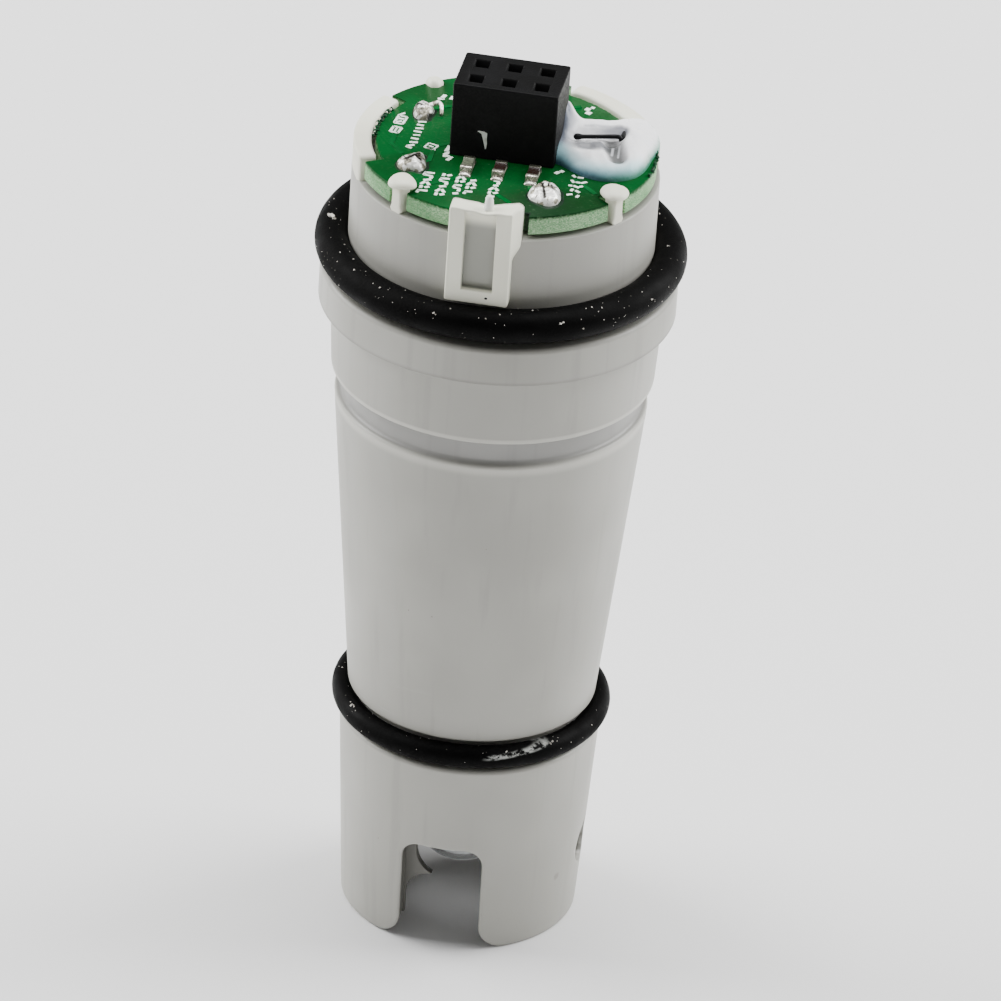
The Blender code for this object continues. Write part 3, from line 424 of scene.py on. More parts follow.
class Value:
    """A number socket on which Python's operators add Math nodes."""

    def __init__(self, tree: Shader, socket: bpy.types.NodeSocket) -> None:
        """Wrap a socket of a shader."""
        self.tree, self.socket = tree, socket

    def math(self, operation: str, *others: Value | float) -> Value:
        """A Math node with this value first."""
        inputs = dict(enumerate((self, *others)))
        return Value(self.tree, self.tree.node("ShaderNodeMath", {"operation": operation}, inputs).outputs[0])

    def __add__(self, other: Value | float) -> Value:
        """The sum."""
        return self.math("ADD", other)

    def __sub__(self, other: Value | float) -> Value:
        """The difference."""
        return self.math("SUBTRACT", other)

    def __mul__(self, other: Value | float) -> Value:
        """The product."""
        return self.math("MULTIPLY", other)

    def __truediv__(self, other: Value | float) -> Value:
        """The quotient."""
        return self.math("DIVIDE", other)

    def __pow__(self, other: float) -> Value:
        """The power."""
        return self.math("POWER", other)

    def span(self, low: float, high: float, start: float = 0.0, end: float = 1.0) -> Value:
        """The value run smoothly from one range to another, held at both ends.

        Args:
            low: The value that gives the start. It may lie above the other one.
            high: The value that gives the end.
            start: What the low value gives.
            end: What the high value gives.

        Returns:
            The new value.
        """
        settings = {"interpolation_type": "SMOOTHSTEP"}
        inputs = {"Value": self, "From Min": low, "From Max": high, "To Min": start, "To Max": end}
        return Value(self.tree, self.tree.node("ShaderNodeMapRange", settings, inputs).outputs[0])


class Shader:
    """The node tree of one material."""

    def __init__(self, name: str) -> None:
        """Start a material with its Principled node.

        Args:
            name: The material's name.
        """
        self.material = bpy.data.materials.new(name)
        self.material.use_nodes = True
        self.nodes = self.material.node_tree.nodes
        self.links = self.material.node_tree.links
        self.principled = next(n for n in self.nodes if n.type == "BSDF_PRINCIPLED")
        self._place: bpy.types.NodeSocket | None = None

    def feed(self, target: bpy.types.NodeSocket, source: object) -> None:
        """Set a socket to a number or colour, or link it to a value or socket.

        Args:
            target: The socket that is set.
            source: A number, a colour, a value or a socket.
        """
        if isinstance(source, Value):
            self.links.new(source.socket, target)
        elif isinstance(source, bpy.types.NodeSocket):
            self.links.new(source, target)
        else:
            target.default_value = source

    def node(self, kind: str, settings: dict[str, object], inputs: dict[object, object]) -> bpy.types.Node:
        """Add a node, set its settings first and then its sockets.

        Args:
            kind: The node's type.
            settings: Attributes of the node.
            inputs: Values or links by socket name or number.

        Returns:
            The new node.
        """
        added = self.nodes.new(kind)
        for key, value in settings.items():
            setattr(added, key, value)
        for key, source in inputs.items():
            self.feed(added.inputs[key], source)
        return added

    @property
    def place(self) -> bpy.types.NodeSocket:
        """Object coordinates in metres."""
        if self._place is None:
            self._place = self.node("ShaderNodeTexCoord", {}, {}).outputs["Object"]
        return self._place

    def axes(self) -> tuple[Value, Value, Value]:
        """The object coordinates in millimetres, one by one."""
        split = self.node("ShaderNodeSeparateXYZ", {}, {0: self.place})
        x, y, z = (Value(self, split.outputs[k]) * (1 / MM) for k in range(3))
        return x, y, z

    def noise(
        self,
        size: float,
        detail: float = 3.0,
        stretch: Triple = (1.0, 1.0, 1.0),
        rough: float = 0.5,
    ) -> Value:
        """Noise on the object coordinates.

        Args:
            size: The size of a patch in millimetres.
            detail: Number of finer layers.
            stretch: How many times finer it is along each axis.
            rough: How strong the finer layers are.

        Returns:
            The noise, about 0.3 to 0.7.
        """
        scale = tuple(s / size / MM for s in stretch)
        scaled = self.node("ShaderNodeMapping", {}, {"Vector": self.place, "Scale": scale})
        inputs = {"Vector": scaled.outputs[0], "Scale": 1.0, "Detail": detail, "Roughness": rough}
        return Value(self, self.node("ShaderNodeTexNoise", {}, inputs).outputs[0])

    def cells(self, size: float) -> Value:
        """Distance to the nearest of scattered points, in cells of a size in millimetres."""
        inputs = {"Vector": self.place, "Scale": 1 / size / MM}
        return Value(self, self.node("ShaderNodeTexVoronoi", {}, inputs).outputs[0])

    def mix(self, share: Value | float, first: object, second: object) -> bpy.types.NodeSocket:
        """A colour between two others.

        Args:
            share: How much of the second colour there is, 0 to 1.
            first: The colour at 0, a value or a socket.
            second: The colour at 1, a value or a socket.

        Returns:
            The socket of the mixed colour.
        """
        added = self.node("ShaderNodeMix", {"data_type": "RGBA"}, {})
        self.feed(added.inputs[0], share)
        self.feed(added.inputs[6], first)
        self.feed(added.inputs[7], second)
        return added.outputs[2]

    def to_line(self, x: Value, y: Value, start: Pair, end: Pair) -> Value:
        """Distance from a stretch of line in the plane of X and Y.

        Args:
            x: First coordinate in millimetres.
            y: Second coordinate in millimetres.
            start: Where the stretch starts.
            end: Where it ends.

        Returns:
            The distance in millimetres.
        """
        dx, dy = end[0] - start[0], end[1] - start[1]
        along = ((x - start[0]) * dx + (y - start[1]) * dy) / (dx * dx + dy * dy)
        along = along.math("MAXIMUM", 0.0).math("MINIMUM", 1.0)
        across, over = x - start[0] - along * dx, y - start[1] - along * dy
        return (across * across + over * over) ** 0.5

    def bump(self, height: Value, depth: float) -> None:
        """Feed a height of 0 to 1, worth a depth in millimetres, to the normal."""
        inputs = {"Height": height, "Distance": depth * MM, "Strength": 1.0}
        self.feed(self.principled.inputs["Normal"], self.node("ShaderNodeBump", {}, inputs).outputs[0])

    def dress(self, **sockets: object) -> None:
        """Feed Principled sockets by name, with _ for a space."""
        for name, source in sockets.items():
            label = name.replace("_", " ").title().replace("Ior", "IOR")
            self.feed(self.principled.inputs[label], source)


def tone(red: float, green: float, blue: float) -> tuple[float, float, float, float]:
    """A colour from screen values of 0 to 255, as light.

    Args:
        red: Screen value of red.
        green: Screen value of green.
        blue: Screen value of blue.

    Returns:
        Red, green, blue and alpha.
    """
    shares = (red / 255, green / 255, blue / 255)
    linear = [c / 12.92 if c <= 0.04045 else ((c + 0.055) / 1.055) ** 2.4 for c in shares]
    return (*linear, 1.0)


# Levels that several pieces share


@dataclass(frozen=True)
class Levels:
    """Heights and radii of the electrode, the same as the solids', and how the guard widens with height."""

    guard_top: float = 13.4
    guard_tip_radius: float = 7.34
    guard_top_radius: float = 8.1
    guard_wall: float = 1.3
    guard_slope: float = 0.0567
    inner_slope: float = 0.0284
    lower_ring: float = 14.425
    barrel_foot: float = 15.3
    barrel_top: float = 35.8
    neck_top: float = 37.55
    shoulder_top: float = 42.15
    flange_top: float = 44.6
    upper_ring: float = 45.95
    collar_top: float = 51.2
    board_foot: float = 51.5
    board_top: float = 52.7
    socket_foot: float = 53.0
    socket_top: float = 57.5
    collar: float = 9.3
    collar_bore: float = 7.9
    board: float = 9.05

    def guard_outer(self, z: np.ndarray) -> np.ndarray:
        """Outer radius of the guard at a height."""
        return self.guard_tip_radius + (self.guard_top_radius - self.guard_tip_radius) * z / self.guard_top

    def guard_inner(self, z: np.ndarray) -> np.ndarray:
        """Inner radius of the guard at a height: it widens half as fast as the outside."""
        return self.guard_tip_radius - self.guard_wall + self.inner_slope * z


LEVELS = Levels()


@dataclass(frozen=True)
class MouldedPlastic:
    """Satin grey plastic with faint draw lines and specks, painted shade inside the guard, in the groove,
    under two edges and in a recess, and painted highlights on two lips.
    """

    name: str = "moulded_plastic"
    colour: Triple = (163, 162, 155)
    shade: Triple = (155, 154, 147)
    roughness: float = 0.42
    lines: float = 0.6
    # How strong the painted shade and highlights are, and also the wear streaks and the dark spot.
    painted_light_and_wear: float = 0.85
    # How strong the painted shade on the key recess's floor is.
    recess: float = 0.0

    def material(self) -> bpy.types.Material:
        """The material."""
        shader = Shader(self.name)
        cloud = shader.noise(9.0, 2.0)
        streak = shader.noise(0.9, 3.0, (1.0, 1.0, 0.03))
        grain = shader.noise(0.12, 2.0)
        speck = shader.cells(1.7).span(0.035, 0.02)
        where = shader.noise(4.0, 1.0).span(0.5, 0.62)
        colour = shader.mix(cloud.span(0.35, 0.65), tone(*self.colour), tone(*self.shade))
        drawn = tone(*(c * 0.93 for c in self.colour))
        colour = shader.mix(streak.span(0.56, 0.72) * self.lines, colour, drawn)
        colour = shader.mix(speck * where * 0.6, colour, tone(96, 92, 84))
        x, y, z = shader.axes()
        away = (x * x + y * y) ** 0.5
        # Painted shade inside the guard: the inner wall is darker below the bulkhead.
        wall = away - (z * LEVELS.guard_slope + LEVELS.guard_tip_radius)
        inside = wall.span(-0.12, -0.4) * z.span(9.62, 9.58) * self.painted_light_and_wear
        colour = shader.mix(inside, colour, tone(82, 81, 75))
        # Painted shade in the neck groove.
        groove = z.span(37.6, 37.52) * z.span(35.8, 35.95) * away.span(9.75, 9.6) * self.painted_light_and_wear
        colour = shader.mix(groove * 0.42, colour, tone(112, 112, 118))
        # Painted shade under the shoulder's lower edge and under the flange's lower edge.
        under = z.span(37.62, 37.57) * z.span(37.3, 37.5) * self.painted_light_and_wear
        under = under + z.span(42.5, 42.2) * z.span(42.0, 42.12) * self.painted_light_and_wear
        colour = shader.mix(under * 0.4, colour, tone(84, 83, 80))
        # Painted highlights on the barrel's rounded top edge and on the shoulder's rounded lower edge.
        lip = z.span(35.85, 35.7) * z.span(35.0, 35.5) + z.span(37.95, 37.8) * z.span(37.6, 37.66)
        colour = shader.mix(lip * away.span(9.2, 9.35) * self.painted_light_and_wear * 0.55, colour, tone(206, 205, 196))
        worn = shader.noise(0.5, 3.0, (0.12, 0.12, 1.0)).span(0.62, 0.74)
        worn = worn * z.span(19.5, 16.0) * z.span(15.3, 15.6) * 0.3
        colour = shader.mix(worn * self.painted_light_and_wear, colour, tone(196, 197, 198))
        # A small darker spot on the guard's outside.
        dark_spot = ((x - 6.71) * (x - 6.71) + (y + 3.56) * (y + 3.56) + (z - 4.06) * (z - 4.06)) ** 0.5
        dark_spot = (dark_spot + (grain - 0.5) * 0.2).span(0.34, 0.12) * self.painted_light_and_wear * 0.4
        colour = shader.mix(dark_spot, colour, tone(92, 88, 80))
        # Painted shade on the key recess's floor: darker deeper in and lower down.
        if self.recess:
            across = ((x - 0.16) * (x - 0.16)) ** 0.5
            sunk = y.span(-9.72, -9.45) * across.span(1.0, 0.9) * z.span(52.75, 51.9) * self.recess
            colour = shader.mix(sunk, colour, tone(140, 141, 134))
        rough = cloud.span(0.3, 0.7, self.roughness - 0.05, self.roughness + 0.06)
        shader.dress(base_color=colour, roughness=rough + streak.span(0.5, 0.7, 0.0, 0.06), ior=1.5)
        shader.bump(streak * 0.5 + grain * 0.35 + cloud * 0.15, 0.012)
        return shader.material


@dataclass(frozen=True)
class RingRubber:
    """Black rubber with grease, fine dust and lint."""

    name: str = "ring_rubber_black"
    dust: float = 0.16
    sheen: float = 0.5
    pale_band: tuple[float, float, float, float] | None = None

    def material(self) -> bpy.types.Material:
        """The material."""
        shader = Shader(self.name)
        fine = shader.noise(0.16, 4.0, rough=0.65)
        cloud = shader.noise(2.6, 3.0)
        speck = shader.cells(0.42).span(0.13, 0.06) * shader.noise(1.3, 2.0).span(0.52, 0.62)
        film = cloud.span(0.42, 0.72) * fine.span(0.42, 0.62) * self.dust
        x, _, _ = shader.axes()
        film = film * x.span(4.0, -9.0, 0.35, 1.0)
        colour = shader.mix(film, tone(2, 2, 2), tone(40, 40, 38))
        colour = shader.mix(speck * 0.5, colour, tone(120, 118, 110))
        rough = cloud.span(0.35, 0.65, self.sheen, self.sheen + 0.22) + speck * 0.3
        # A whitish band along part of the ring.
        if self.pale_band:
            start, end, low, high = self.pale_band
            x, y, z = shader.axes()
            around = y.math("ARCTAN2", x) * (180 / math.pi)
            along = (around - start) / (end - start)
            off = z - (along * (high - low) + low) + (cloud - 0.5) * 0.3
            band = ((off * off) ** 0.5).span(0.2, 0.05) * along.span(0.0, 0.25) * along.span(1.04, 0.9)
            torn = shader.noise(0.5, 4.0, (1.0, 1.0, 2.2), rough=0.7).span(0.42, 0.56)
            colour = shader.mix(band * torn * 0.9, colour, tone(176, 178, 174))
        shader.dress(base_color=colour, roughness=rough, ior=1.5, specular_ior_level=0.05)
        shader.bump(fine * 0.6 + cloud * 0.4 + speck * 0.5, 0.03)
        return shader.material


@dataclass(frozen=True)
class BoardFinish:
    """Green solder mask over glass-fibre laminate, whose cut edge is pale and mottled, with painted shadow
    towards the front right and in the gap by the key.
    """

    name: str = "board_green"
    top: float = 52.7
    edge_depth: float = 0.3

    def material(self) -> bpy.types.Material:
        """The material."""
        shader = Shader(self.name)
        x, y, z = shader.axes()
        weave = shader.noise(0.22, 2.0)
        cloud = shader.noise(3.2, 2.0)
        front = (y * -1.0).span(2.0, 8.0)
        mask = shader.mix(cloud.span(0.35, 0.65), tone(0, 74, 28), tone(0, 62, 20))
        # Painted shadow: the mask turns darker towards the front right, in front of the socket and right of
        # the chips.
        mask = shader.mix((x.span(-2.5, 2.5) * front) * 0.75, mask, tone(0, 30, 4))
        fibre = shader.noise(0.12, 3.0, (1.0, 1.0, 3.0))
        laminate = shader.mix(fibre.span(0.4, 0.62), tone(98, 146, 102), tone(164, 194, 154))
        laminate = shader.mix(cloud.span(0.45, 0.6) * 0.4, laminate, tone(56, 116, 62))
        depth = z * -1.0 + self.top
        fade = (depth + (weave - 0.5) * 0.25).span(0.02, self.edge_depth)
        colour = shader.mix(fade, mask, laminate)
        # Painted shadow in the narrow gap between the key and the side of the board's notch.
        gap = x.span(2.4, 2.6) * x.span(2.92, 2.88) * (y * -1.0).span(7.9, 8.1)
        colour = shader.mix(gap * 0.92, colour, tone(6, 26, 14))
        rough = fade.span(0.0, 1.0, 0.34, 0.6)
        shader.dress(base_color=colour, roughness=rough + (weave - 0.5) * 0.1, specular_ior_level=0.07)
        shader.bump(weave * 0.6 + cloud * 0.4, 0.02)
        return shader.material


@dataclass(frozen=True)
class PlainFinish:
    """One colour with small patches of another, its gloss and a fine grain."""

    name: str
    colour: Triple
    patch: Triple
    roughness: float = 0.4
    spread: float = 0.1
    metallic: float = 0.0
    patch_size: float = 1.0
    grain: float = 0.1
    relief: float = 0.01
    amount: float = 1.0
    gloss: float = 0.5

    def material(self) -> bpy.types.Material:
        """The material."""
        shader = Shader(self.name)
        cloud = shader.noise(self.patch_size, 3.0)
        grain = shader.noise(self.grain, 3.0)
        colour = shader.mix(cloud.span(0.4, 0.64) * self.amount, tone(*self.colour), tone(*self.patch))
        rough = grain.span(0.35, 0.65, self.roughness - self.spread, self.roughness + self.spread)
        shader.dress(base_color=colour, roughness=rough)
        shader.dress(metallic=self.metallic, specular_ior_level=self.gloss)
        shader.bump(grain * 0.6 + cloud * 0.4, self.relief)
        return shader.material


@dataclass(frozen=True)
class SiliconeFinish:
    """White silicone with painted bluish grey shade round the sunken lead, thin and aqua towards its edge on
    the board.
    """

    name: str = "silicone_white"
    foot: float = 52.7

    def material(self) -> bpy.types.Material:
        """The material."""
        shader = Shader(self.name)
        x, y, z = shader.axes()
        cloud = shader.noise(1.3, 3.0)
        fine = shader.noise(0.35, 3.0)
        colour = shader.mix(cloud.span(0.42, 0.7) * 0.35, tone(252, 252, 253), tone(232, 235, 242))
        # Painted shade on the trough's back wall above the lead, and a darker line of painted shade along its
        # upper edge.
        bank = shader.to_line(x, y, (4.3, 1.1), (6.6, 1.7)) + (cloud - 0.5) * 0.3
        colour = shader.mix(bank.span(0.62, 0.3) * x.span(3.9, 6.7, 0.35, 0.9), colour, tone(74, 77, 90))
        brink = shader.to_line(x, y, (4.4, 1.72), (6.5, 2.1)).span(0.2, 0.0) * fine.span(0.3, 0.45)
        colour = shader.mix(brink * 0.45, colour, tone(92, 96, 110))
        # Painted shadow under the lead.
        under = shader.to_line(x, y, (4.4, -0.35), (5.9, -0.1)) + (cloud - 0.5) * 0.4
        colour = shader.mix(under.span(0.95, 0.1) * 0.85, colour, tone(74, 77, 84))
        # Painted shade in the hollow in front of the lead's foot, crossed by two lighter streaks.
        hollow = shader.to_line(x, y, (6.3, 0.4), (6.95, -1.45)) + (cloud - 0.5) * 0.35
        streak = shader.to_line(x, y, (6.35, 0.3), (6.45, -0.7)).span(0.11, 0.04)
        streak = streak + shader.to_line(x, y, (6.75, 0.3), (6.85, -0.8)).span(0.09, 0.03)
        colour = shader.mix(hollow.span(0.85, 0.15) * 0.88, colour, tone(56, 59, 58))
        colour = shader.mix(streak * 0.8, colour, tone(206, 208, 212))
        # Painted shade on the left flank beside the socket.
        side = (shader.to_line(x, y, (3.1, -1.5), (3.1, 1.6)) + (cloud - 0.5) * 0.3).span(1.15, 0.2)
        colour = shader.mix(side * 0.88, colour, tone(72, 84, 104))
        away = shader.to_line(x, y, (5.9, 0.0), (6.1, 0.0)) + (cloud - 0.5) * 0.5
        colour = shader.mix(away.span(1.7, 2.8) * y.span(-0.2, -1.3), colour, tone(166, 214, 224))
        inner = shader.to_line(x, y, (4.2, 0.8), (6.7, 0.1)).span(1.2, 1.8)
        thin = (z - self.foot + (cloud - 0.5) * 0.4).span(0.8, 0.1) * inner
        edge = shader.mix(x.span(5.5, 8.5), tone(62, 98, 112), tone(80, 146, 124))
        colour = shader.mix(thin, colour, edge)
        shader.dress(base_color=colour, roughness=fine.span(0.3, 0.7, 0.25, 0.42), specular_ior_level=0.35)
        shader.bump(cloud * 0.6 + fine * 0.4, 0.04)
        return shader.material


@dataclass(frozen=True)
class GlassFinish:
    """Clear thin glass with a faint bloom."""

    name: str = "clear_glass"

    def material(self) -> bpy.types.Material:
        """The material."""
        shader = Shader(self.name)
        bloom = shader.noise(2.5, 2.0)
        shader.dress(base_color=(0.96, 0.98, 0.98, 1.0), roughness=bloom.span(0.4, 0.7, 0.01, 0.07))
        shader.dress(transmission_weight=1.0, ior=1.47)
        shader.bump(bloom, 0.01)
        return shader.material


@dataclass(frozen=True)
class ChipFinish:
    """A chip resistor: coated top, tinned ends, the end nearer the socket in painted shade, and a pale
    ceramic underside.
    """

    name: str
    coat: Triple
    low: float
    high: float
    top: float
    metal: Triple = (205, 200, 188)

    def material(self) -> bpy.types.Material:
        """The material."""
        shader = Shader(self.name)
        _, y, z = shader.axes()
        fine = shader.noise(0.12, 3.0)
        worn = (fine - 0.5) * 0.12
        ends = (y + worn).span(self.low + 0.36, self.low + 0.3)
        ends = ends + (y + worn).span(self.high - 0.36, self.high - 0.3)
        under = z.span(self.top - 0.14, self.top - 0.18)
        coat = shader.mix(fine.span(0.4, 0.65), tone(*self.coat), tone(*(c * 0.62 for c in self.coat)))
        coat = shader.mix(under * 0.8, coat, tone(206, 198, 186))
        # Painted shade: the tinned cap at the end nearer the socket is drawn darker.
        cap = shader.mix(y.span(self.low + 0.5, self.high - 0.5), tone(*self.metal), tone(96, 92, 84))
        cap = shader.mix(fine.span(0.44, 0.56) * 0.7, cap, tone(74, 82, 66))
        colour = shader.mix(ends, coat, cap)
        shader.dress(base_color=colour, metallic=ends * 0.85, roughness=fine.span(0.35, 0.65, 0.22, 0.46))
        shader.bump(fine, 0.02)
        return shader.material


# Carrying finished pieces

GREY = MouldedPlastic()
# The same moulding's finish drawn lighter: WHITE for the peg and the crumbs, and CREAM, lighter and creamier
# than the body, for the key, the rims and the stakes.
WHITE = MouldedPlastic("moulded_plastic_bright", (250, 251, 246), (240, 240, 232), 0.35, 0.1, 0.0)
CREAM = MouldedPlastic("moulded_plastic_edges", (236, 236, 218), (224, 223, 206), 0.4, 0.15, 0.0, 0.9)


def dressed(piece: bpy.types.Object, slot: Slot, material: bpy.types.Material, *nodes: str) -> None:
    """Give a piece its material and the nodes it stands for, and let it ride.

    Args:
        piece: The finished piece.
        slot: The record's slot its finish belongs to. Not used.
        material: Its material.
        nodes: Names of the CAD nodes it replaces.
    """
    piece.data.materials.clear()
    piece.data.materials.append(material)
    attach(piece, BODY)
    if nodes:
        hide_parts(*nodes)
    LOG.info("%s: %d faces", piece.name, len(piece.data.polygons))


# The moulded body


@dataclass
class MouldedBody:
    """The one-piece moulding, from the board's seat to the slotted guard.

    Its surface is one grid that closes on itself both ways. The columns run round the axis. The rows
    run down the outside, round the guard's lower edge and up the inside.
    """

    slot_half: float = 2.5
    slot_height: float = 7.35
    slot_corner: float = 1.1
    prong_corner: float = 1.6
    edge: float = 0.2
    join: float = 9.0
    side_hole: float = 1.45
    side_hole_height: float = 4.9
    bulkhead_circle: float = 4.95
    bulkhead_holes: tuple[Pair, ...] = ((-128.0, 1.15), (55.0, 0.95))
    crumbs: tuple[tuple[float, float, float, float], ...] = (
        (-4.26, -8.35, 35.36, 0.13), (-4.1, -8.44, 35.2, 0.09), (-4.34, -8.36, 35.5, 0.08),
    )
    levels: Levels = LEVELS

    def edge_quarter(self) -> tuple[np.ndarray, np.ndarray, np.ndarray, np.ndarray]:
        """A quarter of the guard's lower edge, from the slot's middle to the prong's middle.

        In the slot the edge is a line in the plane of X and Z, so its angle on a wall of radius R is
        asin(x / R). Under the prong the angle runs evenly to a quarter turn.

        Returns:
            Angles on the outer wall, angles on the inner wall, heights, and angles where the columns start.
        """
        half, top, corner, flare = self.slot_half, self.slot_height, self.slot_corner, self.prong_corner
        x = [np.linspace(0, half - corner, 7)[:-1]]
        z = [np.full(6, top)]
        turn = np.linspace(math.pi / 2, 0, 9)
        x.append(half - corner + corner * np.cos(turn))
        z.append(top - corner + corner * np.sin(turn))
        x.append(np.full(9, half))
        z.append(np.linspace(top - corner, flare, 11)[1:-1])
        turn = np.linspace(math.pi, 1.5 * math.pi, 10)
        x.append(half + flare + flare * np.cos(turn))
        z.append(flare + flare * np.sin(turn))
        x_line, z_line = np.concatenate(x), np.concatenate(z)
        outer = np.arcsin(x_line / self.levels.guard_outer(z_line))
        inner = np.arcsin(x_line / self.levels.guard_inner(z_line))
        under = np.linspace(0, 1, 15)[1:]
        outer = np.concatenate([outer, outer[-1] + (math.pi / 2 - outer[-1]) * under])
        inner = np.concatenate([inner, inner[-1] + (math.pi / 2 - inner[-1]) * under])
        height = np.concatenate([z_line, np.zeros(14)])
        stations, bearings = [0, 6, 15, 24, 34, len(height) - 1], np.radians([0, 9, 20, 38, 52, 90])
        start = np.interp(np.arange(len(height)), stations, bearings)
        return outer, inner, height, start

    @staticmethod
    def all_round(quarter: np.ndarray, angle: bool) -> np.ndarray:
        """A quarter's values mirrored to the whole turn, from the front slot's middle.

        Args:
            quarter: Values from a slot's middle to a prong's middle.
            angle: Whether they are angles, which run on round the axis.

        Returns:
            The values of all columns.
        """
        there, back = quarter[:-1], quarter[:0:-1]
        if not angle:
            return np.concatenate([there, back, there, back])
        half = math.pi / 2
        return np.concatenate([there - half, half - back, half + there, 3 * half - back])

    def rows(self) -> np.ndarray:
        """The grid of the whole body, rows by columns by 3."""
        levels = self.levels
        outer_q, inner_q, height_q, start_q = self.edge_quarter()
        outer, inner, start = (self.all_round(q, True) for q in (outer_q, inner_q, start_q))
        height = self.all_round(height_q, False)
        outside = filleted(
            [
                (levels.collar_bore, levels.collar_top, 0.1),
                (levels.collar, levels.collar_top, 0.12), (levels.collar, 46.45, 0.05),
                (9.1, 46.3, 0.05), (9.1, levels.flange_top, 0.05), (10.88, levels.flange_top, 0.32),
                (10.88, levels.shoulder_top, 0.1), (10.12, levels.shoulder_top, 0.14),
                (9.86, levels.neck_top, 0.14), (9.16, levels.neck_top, 0.12),
                (9.16, levels.barrel_top + 0.15, 0.5), (9.58, levels.barrel_top, 0.42),
                (7.69, levels.barrel_foot, 0.2), (6.9, levels.barrel_foot, 0.1),
                (6.9, levels.guard_top, 0.1), (levels.guard_top_radius, levels.guard_top, 0.3),
                (float(levels.guard_outer(self.join)), self.join, 0.0),
                (levels.collar_bore, self.join, 0.0),
            ],
            steps=5,
        )[:-2]
        inside = filleted(
            [
                (float(levels.guard_inner(self.join)), self.join, 0.0),
                (float(levels.guard_inner(9.6)), 9.6, 0.3),
                (3.45, 9.6, 0.15), (3.45, 12.6, 0.1), (6.22, 12.6, 0.4),
                (7.2, levels.barrel_top, 0.0), (7.2, 42.2, 0.05), (levels.collar_bore, 42.2, 0.1),
                (levels.collar_bore, levels.collar_top - 1.0, 0.0),
            ],
            closed=False,
        )
        edge_out = self.on_wall(levels.guard_outer(height), outer, height)
        edge_in = self.on_wall(levels.guard_inner(height), inner, height)
        along = np.roll(edge_out, -1, axis=0) - np.roll(edge_out, 1, axis=0)
        radial = np.stack([np.cos(outer), np.sin(outer), 0 * outer], axis=-1)
        into = np.cross(radial, along)
        into /= np.linalg.norm(into, axis=1, keepdims=True)
        wall = np.linalg.norm(edge_in - edge_out, axis=1)[:, None]
        turn = np.linspace(0, math.pi / 2, 6)
        rim = []
        for origin, sign, turns in ((0.0, 1, turn), (wall, -1, turn[::-1])):
            for angle in turns:
                depth = origin + sign * self.edge * (1 - math.cos(angle))
                sunk = into * self.edge * (1 - math.sin(angle))
                rim.append(edge_out + (edge_in - edge_out) * depth / wall + sunk)
        down = self.between(start, rim[0], levels.guard_outer, 14)
        up = self.between(start, rim[-1], levels.guard_inner, 10)[::-1]
        first, last = self.ring_rows(outside, start), self.ring_rows(inside, start)
        return np.concatenate([first, down[1:-1], np.array(rim), up[1:-1], last])

    @staticmethod
    def on_wall(radius: np.ndarray, angle: np.ndarray, height: np.ndarray) -> np.ndarray:
        """Points at radii, angles and heights."""
        return np.stack([radius * np.cos(angle), radius * np.sin(angle), height + 0 * angle], axis=-1)

    def ring_rows(self, profile: np.ndarray, start: np.ndarray) -> np.ndarray:
        """Rows of a turned profile at the columns' starting angles."""
        return self.on_wall(profile[:, :1] + 0 * start, start + 0 * profile[:, :1], profile[:, 1:])

    def between(
        self, start: np.ndarray, edge: np.ndarray, radius: Callable[[np.ndarray], np.ndarray], count: int
    ) -> np.ndarray:
        """Rows on a wall from the joining height to the edge: angle and height run evenly together.

        Args:
            start: Angles where the columns start.
            edge: Points of the edge.
            radius: The wall's radius over its height.
            count: Number of rows.

        Returns:
            Points, shaped rows by columns by 3.
        """
        angle = np.unwrap(np.arctan2(edge[:, 1], edge[:, 0]))
        angle += np.round((start - angle) / (2 * math.pi)) * 2 * math.pi
        share = np.linspace(0, 1, count)[:, None]
        height = self.join + (edge[:, 2] - self.join) * share
        return self.on_wall(radius(height), start + (angle - start) * share, height)

    def hole(self, radius: float, steps: int = 48) -> np.ndarray:
        """A round loop in the plane of Y and Z."""
        turn = np.linspace(0, 2 * math.pi, steps, endpoint=False)
        return np.stack([0 * turn, radius * np.cos(turn), radius * np.sin(turn)], axis=-1)

    def build(self) -> None:
        """Make the body, cut its small holes and dress it."""
        body = made("body_shell", sheet(self.rows(), closed=True, ring=True))
        loop = self.hole(self.side_hole) + np.array([0, 0, self.side_hole_height])
        tools = [capped(np.stack([loop + [x, 0, 0] for x in (-12, 12)]))]
        for degrees, radius in self.bulkhead_holes:
            x = self.bulkhead_circle * math.cos(math.radians(degrees))
            y = self.bulkhead_circle * math.sin(math.radians(degrees))
            ring = turned_rows(np.array([[radius, 8.0], [radius, 14.0]]), 32) + np.array([x, y, 0])
            tools.append(capped(ring))
        carved(body, tools)
        dressed(body, Slot.MOULDING, GREY.material(), "body")
        self.specks()

    def specks(self) -> None:
        """Crumbs of plastic and dirt that stick to the moulding where the photograph shows them."""
        lumps = []
        turn = np.radians(np.linspace(-80, 80, 6))
        profile = np.stack([np.cos(turn) * 0.8, np.sin(turn) * 1.3], axis=-1)
        for x, y, z, size in self.crumbs:
            ball = turned_rows(profile * size, 9)
            ball += 0.35 * size * smooth_noise(ball, int(size * 1000), size * 1.5)[..., None]
            lumps.append(capped(ball).shifted(x, y, z))
        dressed(made("body_crumbs", joined(lumps), sharp=45.0), Slot.MOULDING, WHITE.material())


